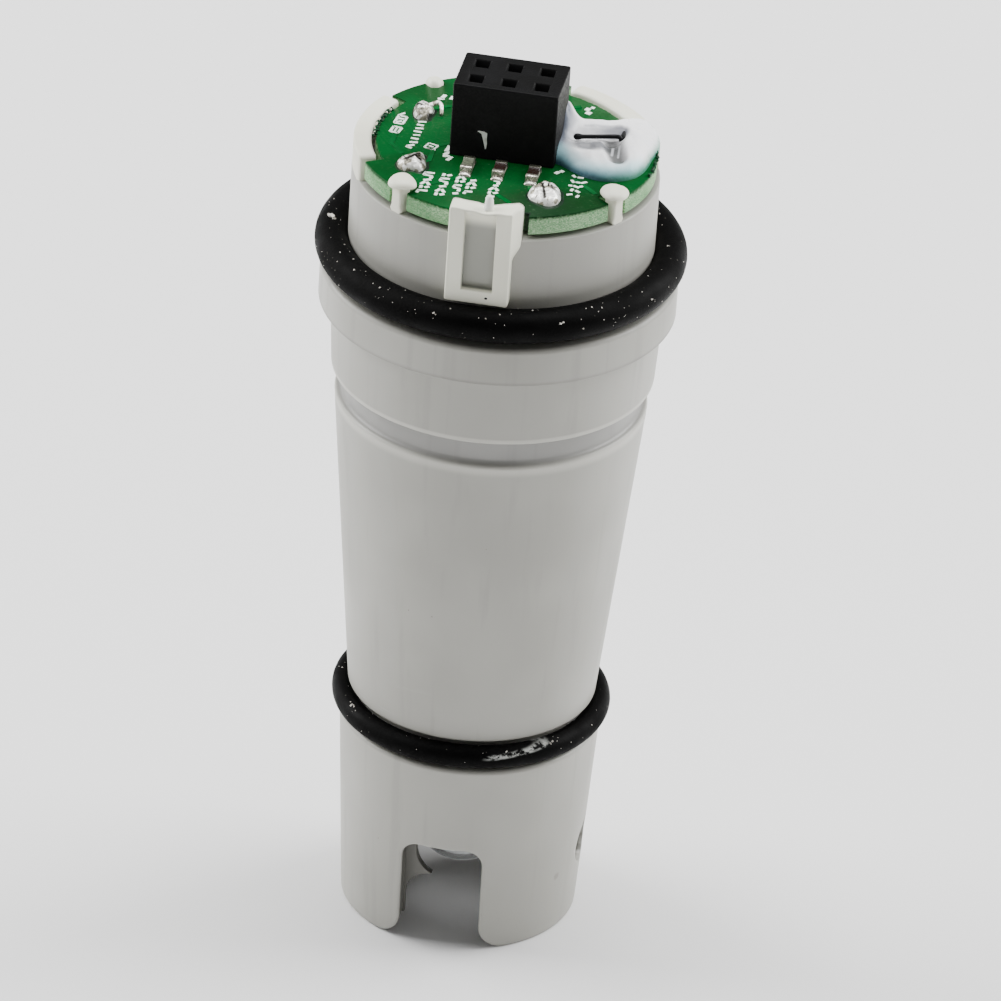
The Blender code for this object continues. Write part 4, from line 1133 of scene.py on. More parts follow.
@dataclass
class LocatingKey:
    """The key on the collar: a plate with a scooped recess, a shoulder behind it and a small peg."""

    shift: float = 0.2
    face: float = -9.9
    back: float = -8.72
    half: float = 1.92
    flank: float = 0.48
    foot: float = 47.08
    top: float = 53.36
    border: float = 0.97
    foot_border: float = 0.85
    ramp_top: float = 53.16
    floor: float = -9.35

    def loop(
        self, half: float, low: float, high: float, y: float, corner: float, flank: float = 0.0
    ) -> np.ndarray:
        """A rounded rectangle in the plane of X and Z, resampled evenly, with a worn upper edge.

        The upper edge dips in its middle. Towards the back it falls on the left and rises on the right.

        Args:
            half: Half its width.
            low: Height of its lower edge.
            high: Height of its upper edge.
            y: The depth it lies at.
            corner: Radius of its corners.
            flank: How far its right side is drawn out above the collar.

        Returns:
            A hundred and forty-four points.
        """
        line = rounded_box((-half, low), (half, high), corner, steps=5)
        closed = np.vstack([line, line[:1]])
        along = np.concatenate([[0], np.cumsum(np.linalg.norm(np.diff(closed, axis=0), axis=1))])
        at = np.linspace(0, along[-1], 145)[:-1]
        x, z = np.interp(at, along, closed[:, 0]), np.interp(at, along, closed[:, 1])
        above = np.clip((z - 49.8) / 1.2, 0, 1)
        x = x + flank * above * above * (3 - 2 * above) * np.clip(x / half, 0, 1) ** 2
        upper = np.clip((z - 52.55) / 0.5, 0, 1)
        behind = np.clip((y - self.face) / (self.back - self.face), 0, 1)
        tilt = behind * np.interp(x, [-1.9, 0.1, 0.9, 1.5, 2.1, 2.4], [0.05, 0.0, 0.02, 0.18, 0.28, 0.14])
        dip = 0.12 * np.exp(-(((x - 0.15) / 0.7) ** 2)) + 0.02 * np.sin(5 * x)
        return np.stack([x + self.shift, np.full(len(x), y), z + upper * (tilt - dip)], axis=-1)

    def build(self) -> None:
        """Make the plate as loops from its back to the recess's floor, and the turned peg."""
        rows = []
        sides = ((self.back, self.flank), (self.back - 0.3, 0.42), (self.back - 0.6, 0.27), (-9.62, 0.09))
        for y, flank in sides:
            rows.append(self.loop(self.half, self.foot, self.top, y, 0.1, flank))
        for angle in np.radians([0, 25, 50, 75, 90]):
            inset, rise = 0.09 * (1 - math.cos(angle)), 0.09 * (1 - math.sin(angle))
            low, high = self.foot + inset, self.top - inset
            rows.append(self.loop(self.half - inset, low, high, self.face + rise, 0.12))
        half, low = self.half - self.border, self.foot + self.foot_border
        for angle in np.radians([0, 30, 60, 90]):
            grow, sink = 0.07 * (1 - math.sin(angle)), 0.07 * (1 - math.cos(angle))
            rows.append(self.loop(half + grow, low - grow, self.ramp_top + grow, self.face + sink, 0.06))
        for depth, scoop in ((0.14, 53.1), (0.24, 52.96), (0.34, 52.74), (0.43, 52.45), (0.5, 52.1)):
            rows.append(self.loop(half - 0.01, low + 0.02, scoop, self.face + depth, 0.06))
        rows.append(self.loop(half - 0.03, low + 0.04, 51.7, self.floor, 0.06))
        plate = made("key_plate", capped(np.array(rows)))
        dressed(plate, Slot.MOULDING, CREAM.material(), "body")
        peg = np.array([[0.36, 52.95], [0.31, 53.25], [0.26, 53.6], [0.24, 53.9], [0.19, 54.1], [0.1, 54.19]])
        place = capped(turned_rows(peg, 20)).shifted(self.shift + 0.35, -9.3, 0)
        place.points += 0.03 * smooth_noise(place.points, 5, 0.9)[:, None]
        dressed(made("key_peg", place), Slot.MOULDING, WHITE.material(), "body")
        spot = capped(turned_rows(np.array([[0.09, -0.03], [0.1, 0.0], [0.06, 0.02]]), 12))
        turned_spot = Surface(spot.points[:, [0, 2, 1]] * [1, -1, 0.8], spot.faces)
        mark = turned_spot.shifted(self.shift + 0.62, self.face, 47.55)
        dark = PlainFinish("key_dirt", (40, 38, 34), (62, 58, 52), 0.7, 0.1, patch_size=0.2)
        dressed(made("key_spot", mark, sharp=50.0), Slot.MOULDING, dark.material())


@dataclass
class GuardWeb:
    """The web inside the guard: its free edge is hollowed above and arched below, with a point between."""

    side: float = -2.42
    root: float = -4.1
    back: float = -5.06
    thickness: float = 0.5
    hollow: float = 1.87
    hollow_level: float = 5.85
    arch: float = 1.5
    arch_level: float = 4.1

    def build(self) -> None:
        """Make the web as its outline at four depths, the outer two drawn in by a small edge."""
        turn = np.radians(np.linspace(180, 243, 24))
        upper = self.hollow * np.stack([np.cos(turn), np.sin(turn)], axis=-1) + [0.0, self.hollow_level]
        turn = np.radians(np.linspace(92, 180, 24))
        middle = np.array([self.side + self.arch, self.arch_level - self.arch])
        lower = middle + self.arch * np.stack([np.cos(turn), np.sin(turn)], axis=-1)
        foot = self.arch_level - 2 * self.arch
        ends = np.array([[self.root, 9.8], [-self.hollow, 9.8]])
        outline = np.vstack([ends, upper, lower, [[self.side, foot], [self.root, foot]]])
        centre = np.array([self.root, 5.0])
        rows = []
        for y, inset in ((0.0, 0.02), (-0.05, 0.0), (0.05 - self.thickness, 0.0), (-self.thickness, 0.02)):
            line = centre + (outline - centre) * (1 - inset)
            rows.append(np.stack([line[:, 0], np.full(len(line), self.back + y), line[:, 1]], axis=-1))
        dressed(made("guard_web", capped(np.array(rows)), sharp=35.0), Slot.MOULDING, GREY.material(), "body")


@dataclass
class RimSegments:
    """The two raised segments of the collar's wall: a rounded section carried along an arc."""

    spans: tuple[Pair, ...] = ((153.0, 208.0), (15.0, 73.0))
    inner: float = 8.2
    top: float = 52.85
    foot: float = 50.9
    levels: Levels = LEVELS

    def build(self) -> None:
        """Make both segments."""
        for index, (start, end) in enumerate(self.spans, start=1):
            outer = self.levels.collar
            section = filleted(
                [
                    (self.inner, self.foot, 0.02), (outer - 0.01, self.foot, 0.02),
                    (outer - 0.01, self.top, 0.14), (self.inner, self.top, 0.2),
                ],
                steps=5,
            )
            angle = np.radians(np.linspace(start, end, 48))
            centre = section.mean(axis=0)
            rows = []
            for step, turn in enumerate(angle):
                near = min(step, len(angle) - 1 - step)
                shrink = (0.75, 0.93, 1.0)[min(near, 2)]
                shape = centre + (section - centre) * shrink
                shape[:, 1] = np.where(section[:, 1] < centre[1], section[:, 1], shape[:, 1])
                out, height = shape.T
                rows.append(np.stack([out * math.cos(turn), out * math.sin(turn), height], axis=-1))
            grid = np.array(rows)
            wave = 0.02 * smooth_noise(grid, 11 + index, 3.0)
            grid[..., 2] += np.where(grid[..., 2] > 52.0, wave, 0.0)
            dressed(made(f"rim_segment_{index}", capped(grid)), Slot.MOULDING, CREAM.material(), "body")


@dataclass
class HeatStake:
    """A heat stake: a stem in the wall's line and a head that was melted over the board."""

    index: int
    angle: float
    width: float
    depth: float
    height: float
    foot: float
    lean: float = 0.0
    stem_half: float = 0.36
    levels: Levels = LEVELS

    def build(self) -> None:
        """Make the stem as stacked rounded loops and the head as a turned, dented dome."""
        middle = self.levels.collar - 0.5
        rows = []
        flares = ((50.9, 0.0), (51.15, 0.0), (51.35, 0.12), (51.6, 0.03), (52.3, 0.0))
        for z, flare in (*flares, (self.foot + 0.25, 0.03)):
            half, deep = self.stem_half + flare, 0.45
            line = rounded_box((-deep, -half), (deep - 0.03, half), 0.12)
            rows.append(np.stack([line[:, 0] + middle, line[:, 1], np.full(len(line), z)], axis=-1))
        stem = capped(np.array(rows))
        turn = np.radians(np.linspace(86, -62, 16))
        rise = np.where(np.sin(turn) > 0, np.sin(turn), 0.45 * np.sin(turn))
        dome = np.stack([np.cos(turn) ** 0.85, rise], axis=-1)
        head_rows = turned_rows(dome, 40)
        angle = np.linspace(0, 2 * math.pi, 40, endpoint=False)
        shape = 1.0 + 0.05 * np.sin(2 * angle + self.index) + 0.04 * np.sin(3 * angle + 2.1 * self.index)
        point = 1.0 + self.lean * np.clip(np.cos(angle - math.radians(100)), 0, 1) ** 4
        head_rows[..., 0] *= self.depth * shape
        head_rows[..., 1] *= self.width * shape * point
        head_rows[..., 2] = self.foot + 0.3 * self.height + head_rows[..., 2] * self.height * 0.7
        head = capped(head_rows)
        head.points[:, 2] += 0.03 * smooth_noise(head.points, 20 + self.index, 1.2)
        head = head.shifted(x=middle - 0.02)
        stake = made(f"heat_stake_{self.index}", (stem + head).turned(self.angle))
        dressed(stake, Slot.MOULDING, CREAM.material(), "body")


# The two rings


@dataclass
class SealRing:
    """An O-ring: a circle carried round the axis, a little uneven, with crumbs stuck to it."""

    name: str
    node: str
    middle: float
    section: float
    level: float
    seed: int
    tilt: float = 0.0
    crumbs: int = 60
    marks: tuple[tuple[float, float, float, float], ...] = ()
    pale_band: tuple[float, float, float, float] | None = None

    def on_ring(self, angle: np.ndarray, turn: np.ndarray, grow: float = 0.0) -> np.ndarray:
        """Points at an angle round the axis and a turn round the section, grown by a length.

        Args:
            angle: Angles round the axis.
            turn: Angles round the section.
            grow: How far outside the rubber they lie.

        Returns:
            The points.
        """
        wave = 1.0 + 0.006 * np.sin(3 * angle + self.seed) + 0.004 * np.sin(7 * angle)
        radius = self.section / 2 * wave + grow
        out = self.middle + radius * np.cos(turn)
        height = self.level + radius * np.sin(turn) + math.tan(math.radians(self.tilt)) * out * np.cos(angle)
        return np.stack([out * np.cos(angle), out * np.sin(angle), height], axis=-1)

    def build(self) -> None:
        """Make the ring and its crumbs."""
        angle = np.linspace(0, 2 * np.pi, 192, endpoint=False)
        turn = np.linspace(0, 2 * np.pi, 28, endpoint=False)
        grid = self.on_ring(angle[:, None], turn[None, :])
        ring = made(self.name, sheet(grid, closed=True, ring=True))
        dressed(ring, Slot.RING, RingRubber(self.name + "_rubber", pale_band=self.pale_band).material(), self.node)
        rng = np.random.default_rng(self.seed)
        lumps = []
        spots = [
            (rng.uniform(0, 360), rng.uniform(-20, 120), 0.025 + 0.05 * rng.random() ** 3, 0.6)
            for _ in range(self.crumbs)
        ]
        for around, over, size, flat in (*spots, *self.marks):
            place = self.on_ring(np.radians(around), np.radians(over), -0.3 * size)
            sizes = np.array([size, size * rng.uniform(0.6, 1.3), size * flat])
            lumps.append(crumb(place, sizes, rng))
        dust = PlainFinish(self.name + "_dust", (205, 202, 194), (150, 146, 138), 0.8, 0.1, patch_size=0.4)
        dressed(made(self.name + "_crumbs", joined(lumps), sharp=50.0), Slot.RING, dust.material())


# The circuit board


@dataclass
class CircuitBoard:
    """The round board, its copper tracks under the mask and its printed marks."""

    levels: Levels = LEVELS
    inner: float = 7.9
    spans: tuple[Pair, ...] = ((151.4, 209.8), (13.2, 74.8))
    notches: tuple[Triple, ...] = ((-125.7, 0.68, 8.0), (-33.0, 0.68, 8.0), (131.0, 0.5, 8.35))

    def outline(self) -> np.ndarray:
        """The board's edge as radius over angle, with a straight key notch at the front."""
        angle = np.radians(np.linspace(0, 360, 1440, endpoint=False))
        radius = np.full_like(angle, self.levels.board)
        turn = np.degrees(angle)
        for low, high in self.spans:
            low, high = low % 360, high % 360
            radius = np.where((turn > low) & (turn < high), self.inner, radius)
        jag = 0.05 * np.abs(np.sin(angle * 61)) * np.abs(np.sin(angle * 23.0))
        radius = np.where(radius < 8.5, radius + jag, radius)
        for middle, half, reach in self.notches:
            away = (turn - middle + 180) % 360 - 180
            side = np.abs(np.sin(np.radians(away))) * 8.6
            radius = np.where((side < half) & (np.abs(away) < 90), reach, radius)
        x, y = radius * np.cos(angle), radius * np.sin(angle)
        in_key = (y < 0) & (x > -1.7) & (x < 2.86)
        keep = np.where(in_key & (y < -8.15), -8.15, y)
        return np.stack([x, keep], axis=-1)

    def strip(self, route: list[Pair], width: float, z: float, thick: float) -> Surface:
        """A flat strip along a route on the board.

        Args:
            route: Points along its middle.
            width: Its width.
            z: Height of the face it lies on.
            thick: How far it stands out.

        Returns:
            The closed strip.
        """
        line = np.array(route, float)
        ahead = np.gradient(line, axis=0)
        ahead /= np.linalg.norm(ahead, axis=1, keepdims=True)
        side = np.stack([-ahead[:, 1], ahead[:, 0]], axis=-1) * width / 2
        rows = []
        for place, off in zip(line, side):
            left, right = place + off, place - off
            rows.append([(*left, z - 0.02), (*right, z - 0.02), (*right, z + thick), (*left, z + thick)])
        return capped(np.array(rows))

    def tracks(self) -> Surface:
        """The copper tracks, as strips that lift the mask a little."""
        top = self.levels.board_top
        routes = [
            [(-5.3, 3.2), (-4.4, 3.9), (-3.6, 3.9), (-3.3, 3.3)],
            [(-5.3, -4.4), (-4.2, -3.3), (-4.2, -1.4), (-3.4, -0.8)],
            [(3.1, -5.8), (2.3, -5.1), (2.2, -4.6)],
            [(-6.8, 1.6), (-6.8, -1.8), (-5.9, -2.9)],
            [(0.15, -4.6), (0.2, -6.1), (1.5, -7.2)],
            [(-1.9, -4.6), (-2.6, -5.4), (-4.2, -6.6)],
            [(4.6, -3.2), (5.6, -4.0), (6.2, -4.6)],
            [(-2.0, 3.2), (-2.4, 5.0), (-1.2, 7.0)],
            [(1.0, 3.0), (1.5, 5.2), (3.4, 6.2)],
            [(-4.4, 5.6), (-3.2, 4.4), (-3.1, 2.6)],
        ]
        return joined([self.strip(route, 0.3, top, 0.025) for route in routes])

    def marks(self) -> Surface:
        """The printed marks: short bars, dots and open boxes in small groups."""
        top = self.levels.board_top
        shapes: list[Surface] = []

        def bar(x: float, y: float, long: float, degrees: float, width: float = 0.17) -> None:
            """Add one bar about its middle.

            Args:
                x: Its middle.
                y: Its middle.
                long: Its length.
                degrees: Its lean.
                width: Its width.
            """
            turn = math.radians(degrees)
            dx, dy = long / 2 * math.cos(turn), long / 2 * math.sin(turn)
            shapes.append(self.strip([(x - dx, y - dy), (x, y), (x + dx, y + dy)], width, top, 0.03))

        def box(x: float, y: float, wide: float, tall: float, lean: float = 0.0, width: float = 0.14) -> None:
            """Add an open box of four bars.

            Args:
                x: Its middle.
                y: Its middle.
                wide: Its width.
                tall: Its height.
                lean: Its lean in degrees.
                width: Width of its bars.
            """
            turn = math.radians(lean)
            flat = ((0, tall / 2, wide, 0), (0, -tall / 2, wide, 0))
            upright = ((wide / 2, 0, tall, 90), (-wide / 2, 0, tall, 90))
            for along, across, long, extra in (*flat, *upright):
                dx = along * math.cos(turn) - across * math.sin(turn)
                dy = along * math.sin(turn) + across * math.cos(turn)
                bar(x + dx, y + dy, long, lean + extra, width)

        for k, y in enumerate((1.42, 0.98, 0.54, 0.1, -0.35, -0.82, -1.3)):
            bar(-5.52 - 0.02 * (k % 2), y, (0.5, 0.42, 0.48)[k % 3], 10 - 16 * (k % 2), 0.19)
        bar(-5.62, -1.75, 0.5, 35, 0.22)
        bar(-5.68, -2.0, 0.4, -25, 0.18)
        box(-6.86, -0.02, 0.5, 0.72, -8, 0.17)
        bar(-6.86, -0.02, 0.6, 84, 0.13)
        box(-6.82, 1.3, 0.52, 1.0, -6, 0.16)
        bar(-6.8, 1.45, 0.45, 0, 0.2)
        bar(-6.9, 1.05, 0.42, 30, 0.18)
        bar(-6.9, 2.05, 0.5, 50, 0.15)
        box(-4.4, -1.52, 0.62, 0.62, -18, 0.11)
        bar(-4.4, -1.52, 0.3, -18, 0.13)
        bar(-4.35, -1.85, 0.55, -10, 0.1)
        columns = (
            (-3.66, (-4.85, -5.3, -5.75, -6.2, -6.7, -7.15), 0.62),
            (-2.62, (-4.85, -5.3, -5.8, -6.3, -6.85, -7.35), 0.55),
            (-1.72, (-4.95, -5.4, -5.9, -6.4, -6.95), 0.46),
            (-0.98, (-5.05, -5.5, -6.0, -6.5), 0.46),
            (0.42, (-4.85, -5.3, -5.75, -6.25, -6.7), 0.4),
        )
        for column, (x, levels, long) in enumerate(columns):
            x -= 0.2
            for k, y in enumerate(levels):
                kind = (k * 2 + column * 3) % 5
                if kind == 0:
                    bar(x, y, long, 4, 0.2)
                    bar(x - long / 2.4, y - 0.18, 0.34, 80, 0.17)
                elif kind == 1:
                    bar(x - 0.14, y, 0.42, 62, 0.19)
                    bar(x + 0.16, y, 0.42, -58, 0.19)
                elif kind == 2:
                    bar(x, y + 0.1, long * 0.9, -10, 0.17)
                    bar(x + long / 3, y - 0.12, 0.26, 85, 0.2)
                elif kind == 3:
                    bar(x - 0.17, y, 0.34, 88, 0.19)
                    bar(x + 0.18, y + 0.04, 0.3, 35, 0.2)
                else:
                    bar(x + 0.04, y, long * 0.75, 24, 0.22)
        for x, y, long, lean in (
            (4.56, -2.75, 0.3, -50), (4.97, -2.83, 0.36, 5), (4.6, -3.42, 0.36, -60),
            (4.93, -3.47, 0.3, 0), (5.27, -3.38, 0.4, 40), (4.55, -3.98, 0.22, 0),
            (4.92, -4.03, 0.4, -25), (5.2, -3.92, 0.22, 30), (4.74, -4.5, 0.3, 80),
            (5.1, -4.6, 0.34, -35), (4.7, -5.1, 0.36, 30), (5.2, -5.2, 0.3, 75),
        ):
            bar(x, y, long, lean, 0.17)
        for x, y, long, width in ((3.84, 5.95, 0.34, 0.3), (3.96, 5.5, 0.36, 0.34), (4.1, 6.25, 0.24, 0.22)):
            bar(x, y, long, 70, width)
        for x, y, long, lean in (
            (-3.38, -1.5, 0.75, 84), (-3.32, -2.1, 0.5, 60), (-3.06, -2.72, 0.55, 70),
            (-3.3, -2.45, 0.4, 10), (-4.9, 5.0, 0.55, 75), (-4.98, 4.7, 0.4, 20),
            (-4.36, 5.0, 0.45, 80), (-3.5, 3.9, 0.3, 60), (3.5, -2.6, 0.35, 60),
            (3.75, -2.35, 0.25, -30),
        ):
            bar(x, y, long, lean, 0.24)
        return joined(shapes)

    def build(self) -> None:
        """Make the panel with rounded edges, the tracks and the marks."""
        edge = self.outline()
        levels = self.levels
        rows = []
        for z, inset in (
            (levels.board_foot, 0.05), (levels.board_foot + 0.05, 0.0),
            (levels.board_top - 0.06, 0.0), (levels.board_top - 0.02, 0.015),
            (levels.board_top, 0.05),
        ):
            scale = 1 - inset / 9.0
            rows.append(np.column_stack([edge * scale, np.full(len(edge), z)]))
        board = made("board_panel", capped(np.array(rows)), sharp=40.0)
        dressed(board, Slot.BOARD, BoardFinish().material(), "circuit_board")
        track = PlainFinish(
            "board_tracks_green", (0, 84, 36), (0, 70, 26), 0.35, 0.05, patch_size=1.5, gloss=0.1
        )
        dressed(made("board_tracks", self.tracks(), sharp=40.0), Slot.BOARD, track.material())
        ink = PlainFinish("board_print_white", (240, 246, 240), (206, 224, 210), 0.55, 0.05, patch_size=0.5)
        dressed(made("board_marks", self.marks(), sharp=40.0), Slot.BOARD, ink.material())


@dataclass
class Socket:
    """The socket: a rounded black block with six bevelled wells, and a pale painted reflection on its front.
    """

    half_length: float = 3.2
    half_width: float = 2.15
    pitch: float = 2.0
    well_half: float = 0.43
    lead_in: float = 0.09
    well_shift: float = -0.13
    well_depth: float = 3.6
    levels: Levels = LEVELS

    def loop(self, half_x: float, half_y: float, z: float, corner: float) -> np.ndarray:
        """A rounded rectangle at a height."""
        line = rounded_box((-half_x, -half_y), (half_x, half_y), corner)
        return np.column_stack([line, np.full(len(line), z)])

    def build(self) -> None:
        """Make the block and cut its wells."""
        foot, top = self.levels.socket_foot - 0.3, self.levels.socket_top
        rows = [self.loop(self.half_length - 0.03, self.half_width - 0.03, foot, 0.1)]
        rows.append(self.loop(self.half_length, self.half_width, foot + 0.05, 0.12))
        for angle in np.radians([0, 30, 60, 90]):
            inset, drop = 0.09 * (1 - math.cos(angle)), 0.09 * (1 - math.sin(angle))
            rows.append(self.loop(self.half_length - inset, self.half_width - inset, top - drop, 0.12))
        rows.append(self.loop(self.half_length - 0.14, self.half_width - 0.14, top, 0.12))
        block = made("socket_block", capped(np.array(rows)))
        tools = []
        for row in (-0.5, 0.5):
            for column in (-1, 0, 1):
                half, mouth = self.well_half, self.well_half + self.lead_in
                well = np.array(
                    [
                        self.loop(half, half, top - self.well_depth, 0.04),
                        self.loop(half, half, top - self.lead_in, 0.04),
                        self.loop(mouth, mouth, top, 0.06),
                        self.loop(mouth + 0.3, mouth + 0.3, top + 0.3, 0.06),
                    ]
                )
                tools.append(capped(well).shifted(column * self.pitch, row * self.pitch + self.well_shift, 0))
        carved(block, tools, sharp=35.0)
        # A painted reflection: a pale sliver on the socket's front face, made as a thin strip.
        front = -self.half_width
        tip = [(-1.5, 54.55), (-1.28, 54.5), (-1.12, 54.42), (-1.08, 54.1), (-1.02, 53.75), (-1.0, 53.4)]
        spine = np.array([(x, front, z) for x, z in tip], float)
        width = np.array([0.05, 0.14, 0.17, 0.12, 0.09, 0.03])[:, None]
        across = np.array([1.0, 0.0, 0.25])
        rows = np.stack([spine - across * width, spine + across * width], axis=1)
        lifted = rows + [0, -0.03, 0]
        reflection_sliver = capped(np.concatenate([rows + [0, 0.03, 0], lifted[:, ::-1]], axis=1))
        white = PlainFinish("socket_reflection_white", (236, 238, 234), (206, 208, 200), 0.5, 0.1, patch_size=0.4)
        dressed(made("socket_reflection", reflection_sliver, sharp=40.0), Slot.SOCKET, white.material())
        black = PlainFinish(
            "socket_plastic", (6, 6, 6), (11, 11, 12), 0.5, 0.08,
            patch_size=2.5, grain=0.15, relief=0.012, gloss=0.1,
        )
        dressed(block, Slot.SOCKET, black.material(), "socket_housing")


@dataclass
class ChipResistor:
    """One chip: a rounded block with slightly thicker tinned ends, and solder at its feet."""

    index: int
    x: float
    coat: Triple
    y: float = -3.55
    length: float = 1.55
    width: float = 0.68
    height: float = 0.42
    levels: Levels = LEVELS

    def build(self) -> None:
        """Make the chip as a section carried along its length, thicker at both ends."""
        foot = self.levels.board_top + 0.02
        rows = []
        low, high = self.y - self.length / 2, self.y + self.length / 2
        for y, grow in (
            (low, -0.05), (low + 0.05, 0.02), (low + 0.32, 0.02), (low + 0.34, 0.0),
            (high - 0.34, 0.0), (high - 0.32, 0.02), (high - 0.05, 0.02), (high, -0.05),
        ):
            half, top = self.width / 2 + grow, foot + self.height + grow
            line = rounded_box((-half, foot - grow), (half, top), 0.06)
            rows.append(np.stack([line[:, 0] + self.x, np.full(len(line), y), line[:, 1]], axis=-1))
        chip = capped(np.array(rows))
        name = f"chip_{self.index}"
        finish = ChipFinish(name + "_finish", self.coat, low, high, foot + self.height)
        dressed(made(name, chip, sharp=60.0), Slot.CHIP, finish.material(), f"chip_resistor_{self.index}")
        pads = []
        for y in (low - 0.12, high + 0.02):
            angle = np.linspace(0, 2 * np.pi, 28, endpoint=False)
            share = np.array([1.0, 0.92, 0.75, 0.5, 0.2])[:, None]
            lift = 0.2 * np.sqrt(1 - share**2)
            square = (np.abs(np.cos(angle)) ** 6 + np.abs(np.sin(angle)) ** 6) ** (-1 / 6)
            grid = np.stack(
                [
                    self.x + 0.37 * share * square * np.cos(angle),
                    y + 0.26 * share * square * np.sin(angle),
                    self.levels.board_top - 0.01 + lift + 0 * angle,
                ],
                axis=-1,
            )
            base = grid[:1].copy()
            base[..., 2] -= 0.03
            pads.append(capped(np.concatenate([base, grid])))
        tin = PlainFinish(name + "_solder", (214, 212, 204), (160, 158, 148), 0.3, 0.1, 0.9, 0.5, 0.1, 0.02)
        dressed(made(name + "_pads", joined(pads), sharp=60.0), Slot.SOLDER, tin.material())


@dataclass(frozen=True)
class SolderFinish:
    """Solder with bright and dark patches of painted reflection, and dark lines of painted shade in its
    creases.
    """

    name: str
    seams: tuple[tuple[float, float, float, float, float], ...]

    def material(self) -> bpy.types.Material:
        """The material: each line of painted crease shade is a stretch of line on the board with a width."""
        shader = Shader(self.name)
        x, y, _ = shader.axes()
        cloud = shader.noise(0.5, 3.0)
        fine = shader.noise(0.14, 3.0)
        # Painted reflections: bright and dark patches on the metal.
        colour = shader.mix(cloud.span(0.47, 0.55), tone(246, 245, 240), tone(132, 128, 114))
        # Painted shade along the creases.
        dark: Value | None = None
        for x0, y0, x1, y1, width in self.seams:
            along = shader.to_line(x, y, (x0, y0), (x1, y1)) + (fine - 0.5) * 0.12
            seam = along.span(width, width * 0.55)
            dark = seam if dark is None else dark.math("MAXIMUM", seam)
        colour = shader.mix(dark, colour, tone(26, 24, 18))
        shader.dress(base_color=colour, metallic=0.55, roughness=fine.span(0.35, 0.65, 0.3, 0.5))
        shader.bump(cloud * 0.7 + fine * 0.3, 0.05)
        return shader.material


@dataclass
class SolderJoint:
    """A soldered lead end: a lump over an uneven outline, with a lead's stub, on a dark film of painted
    shadow.
    """

    index: int
    x: float
    y: float
    outline: tuple[Pair, ...]
    height: float
    stub: tuple[Triple, ...]
    seams: tuple[tuple[float, float, float, float, float], ...]
    power: float = 2.4
    levels: Levels = LEVELS

    def build(self) -> None:
        """Make the lump: height falls with a power of the share of the outline's radius."""
        top = self.levels.board_top
        angle = np.linspace(0, 2 * np.pi, 72, endpoint=False)
        given = np.array(self.outline)
        reach = np.interp(np.degrees(angle), given[:, 0], given[:, 1], period=360)
        reach = np.convolve(np.concatenate([reach[-2:], reach, reach[:2]]), np.ones(5) / 5, "valid")
        share = np.linspace(1, 0.04, 20)[:, None]
        grid = np.stack(
            [
                self.x + share * reach * np.cos(angle),
                self.y + share * reach * np.sin(angle),
                top + self.height * (1 - share**self.power) ** 0.7 + 0 * angle,
            ],
            axis=-1,
        )
        grid[..., 2] += 0.2 * self.height * smooth_noise(grid, 40 + self.index, 1.1) * (1 - share**3)
        base = grid[:1].copy()
        base[..., 2] = top - 0.04
        lump = capped(np.concatenate([base, grid]))
        path = smoothed_path(np.array(self.stub) + [self.x, self.y, top], 0.25, 0.06)
        lead = swept(path, np.linspace(0.15, 0.11, len(path)), 12)
        finish = SolderFinish(f"joint_{self.index}_solder", self.seams)
        joint = made(f"joint_{self.index}", lump + lead)
        dressed(joint, Slot.SOLDER, finish.material(), f"solder_joint_{self.index}")
        # Painted shadow: a dark film on the board round the joint, a little wider than it and offset.
        shadow_share = np.array([1.0, 0.98, 0.9, 0.4])[:, None] * 1.16
        lift = np.array([0.0, 0.012, 0.016, 0.016])[:, None]
        shadow_ring = np.stack(
            [
                self.x + 0.05 + shadow_share * reach * np.cos(angle),
                self.y - 0.05 + shadow_share * reach * np.sin(angle),
                top + lift + 0.0 * angle,
            ],
            axis=-1,
        )
        name = f"joint_{self.index}_flux"
        dark = PlainFinish(name, (2, 26, 10), (2, 40, 16), 0.35, 0.08, patch_size=0.5, gloss=0.25)
        film = made(f"joint_{self.index}_film", capped(shadow_ring), sharp=60.0)
        dressed(film, Slot.BOARD, dark.material())


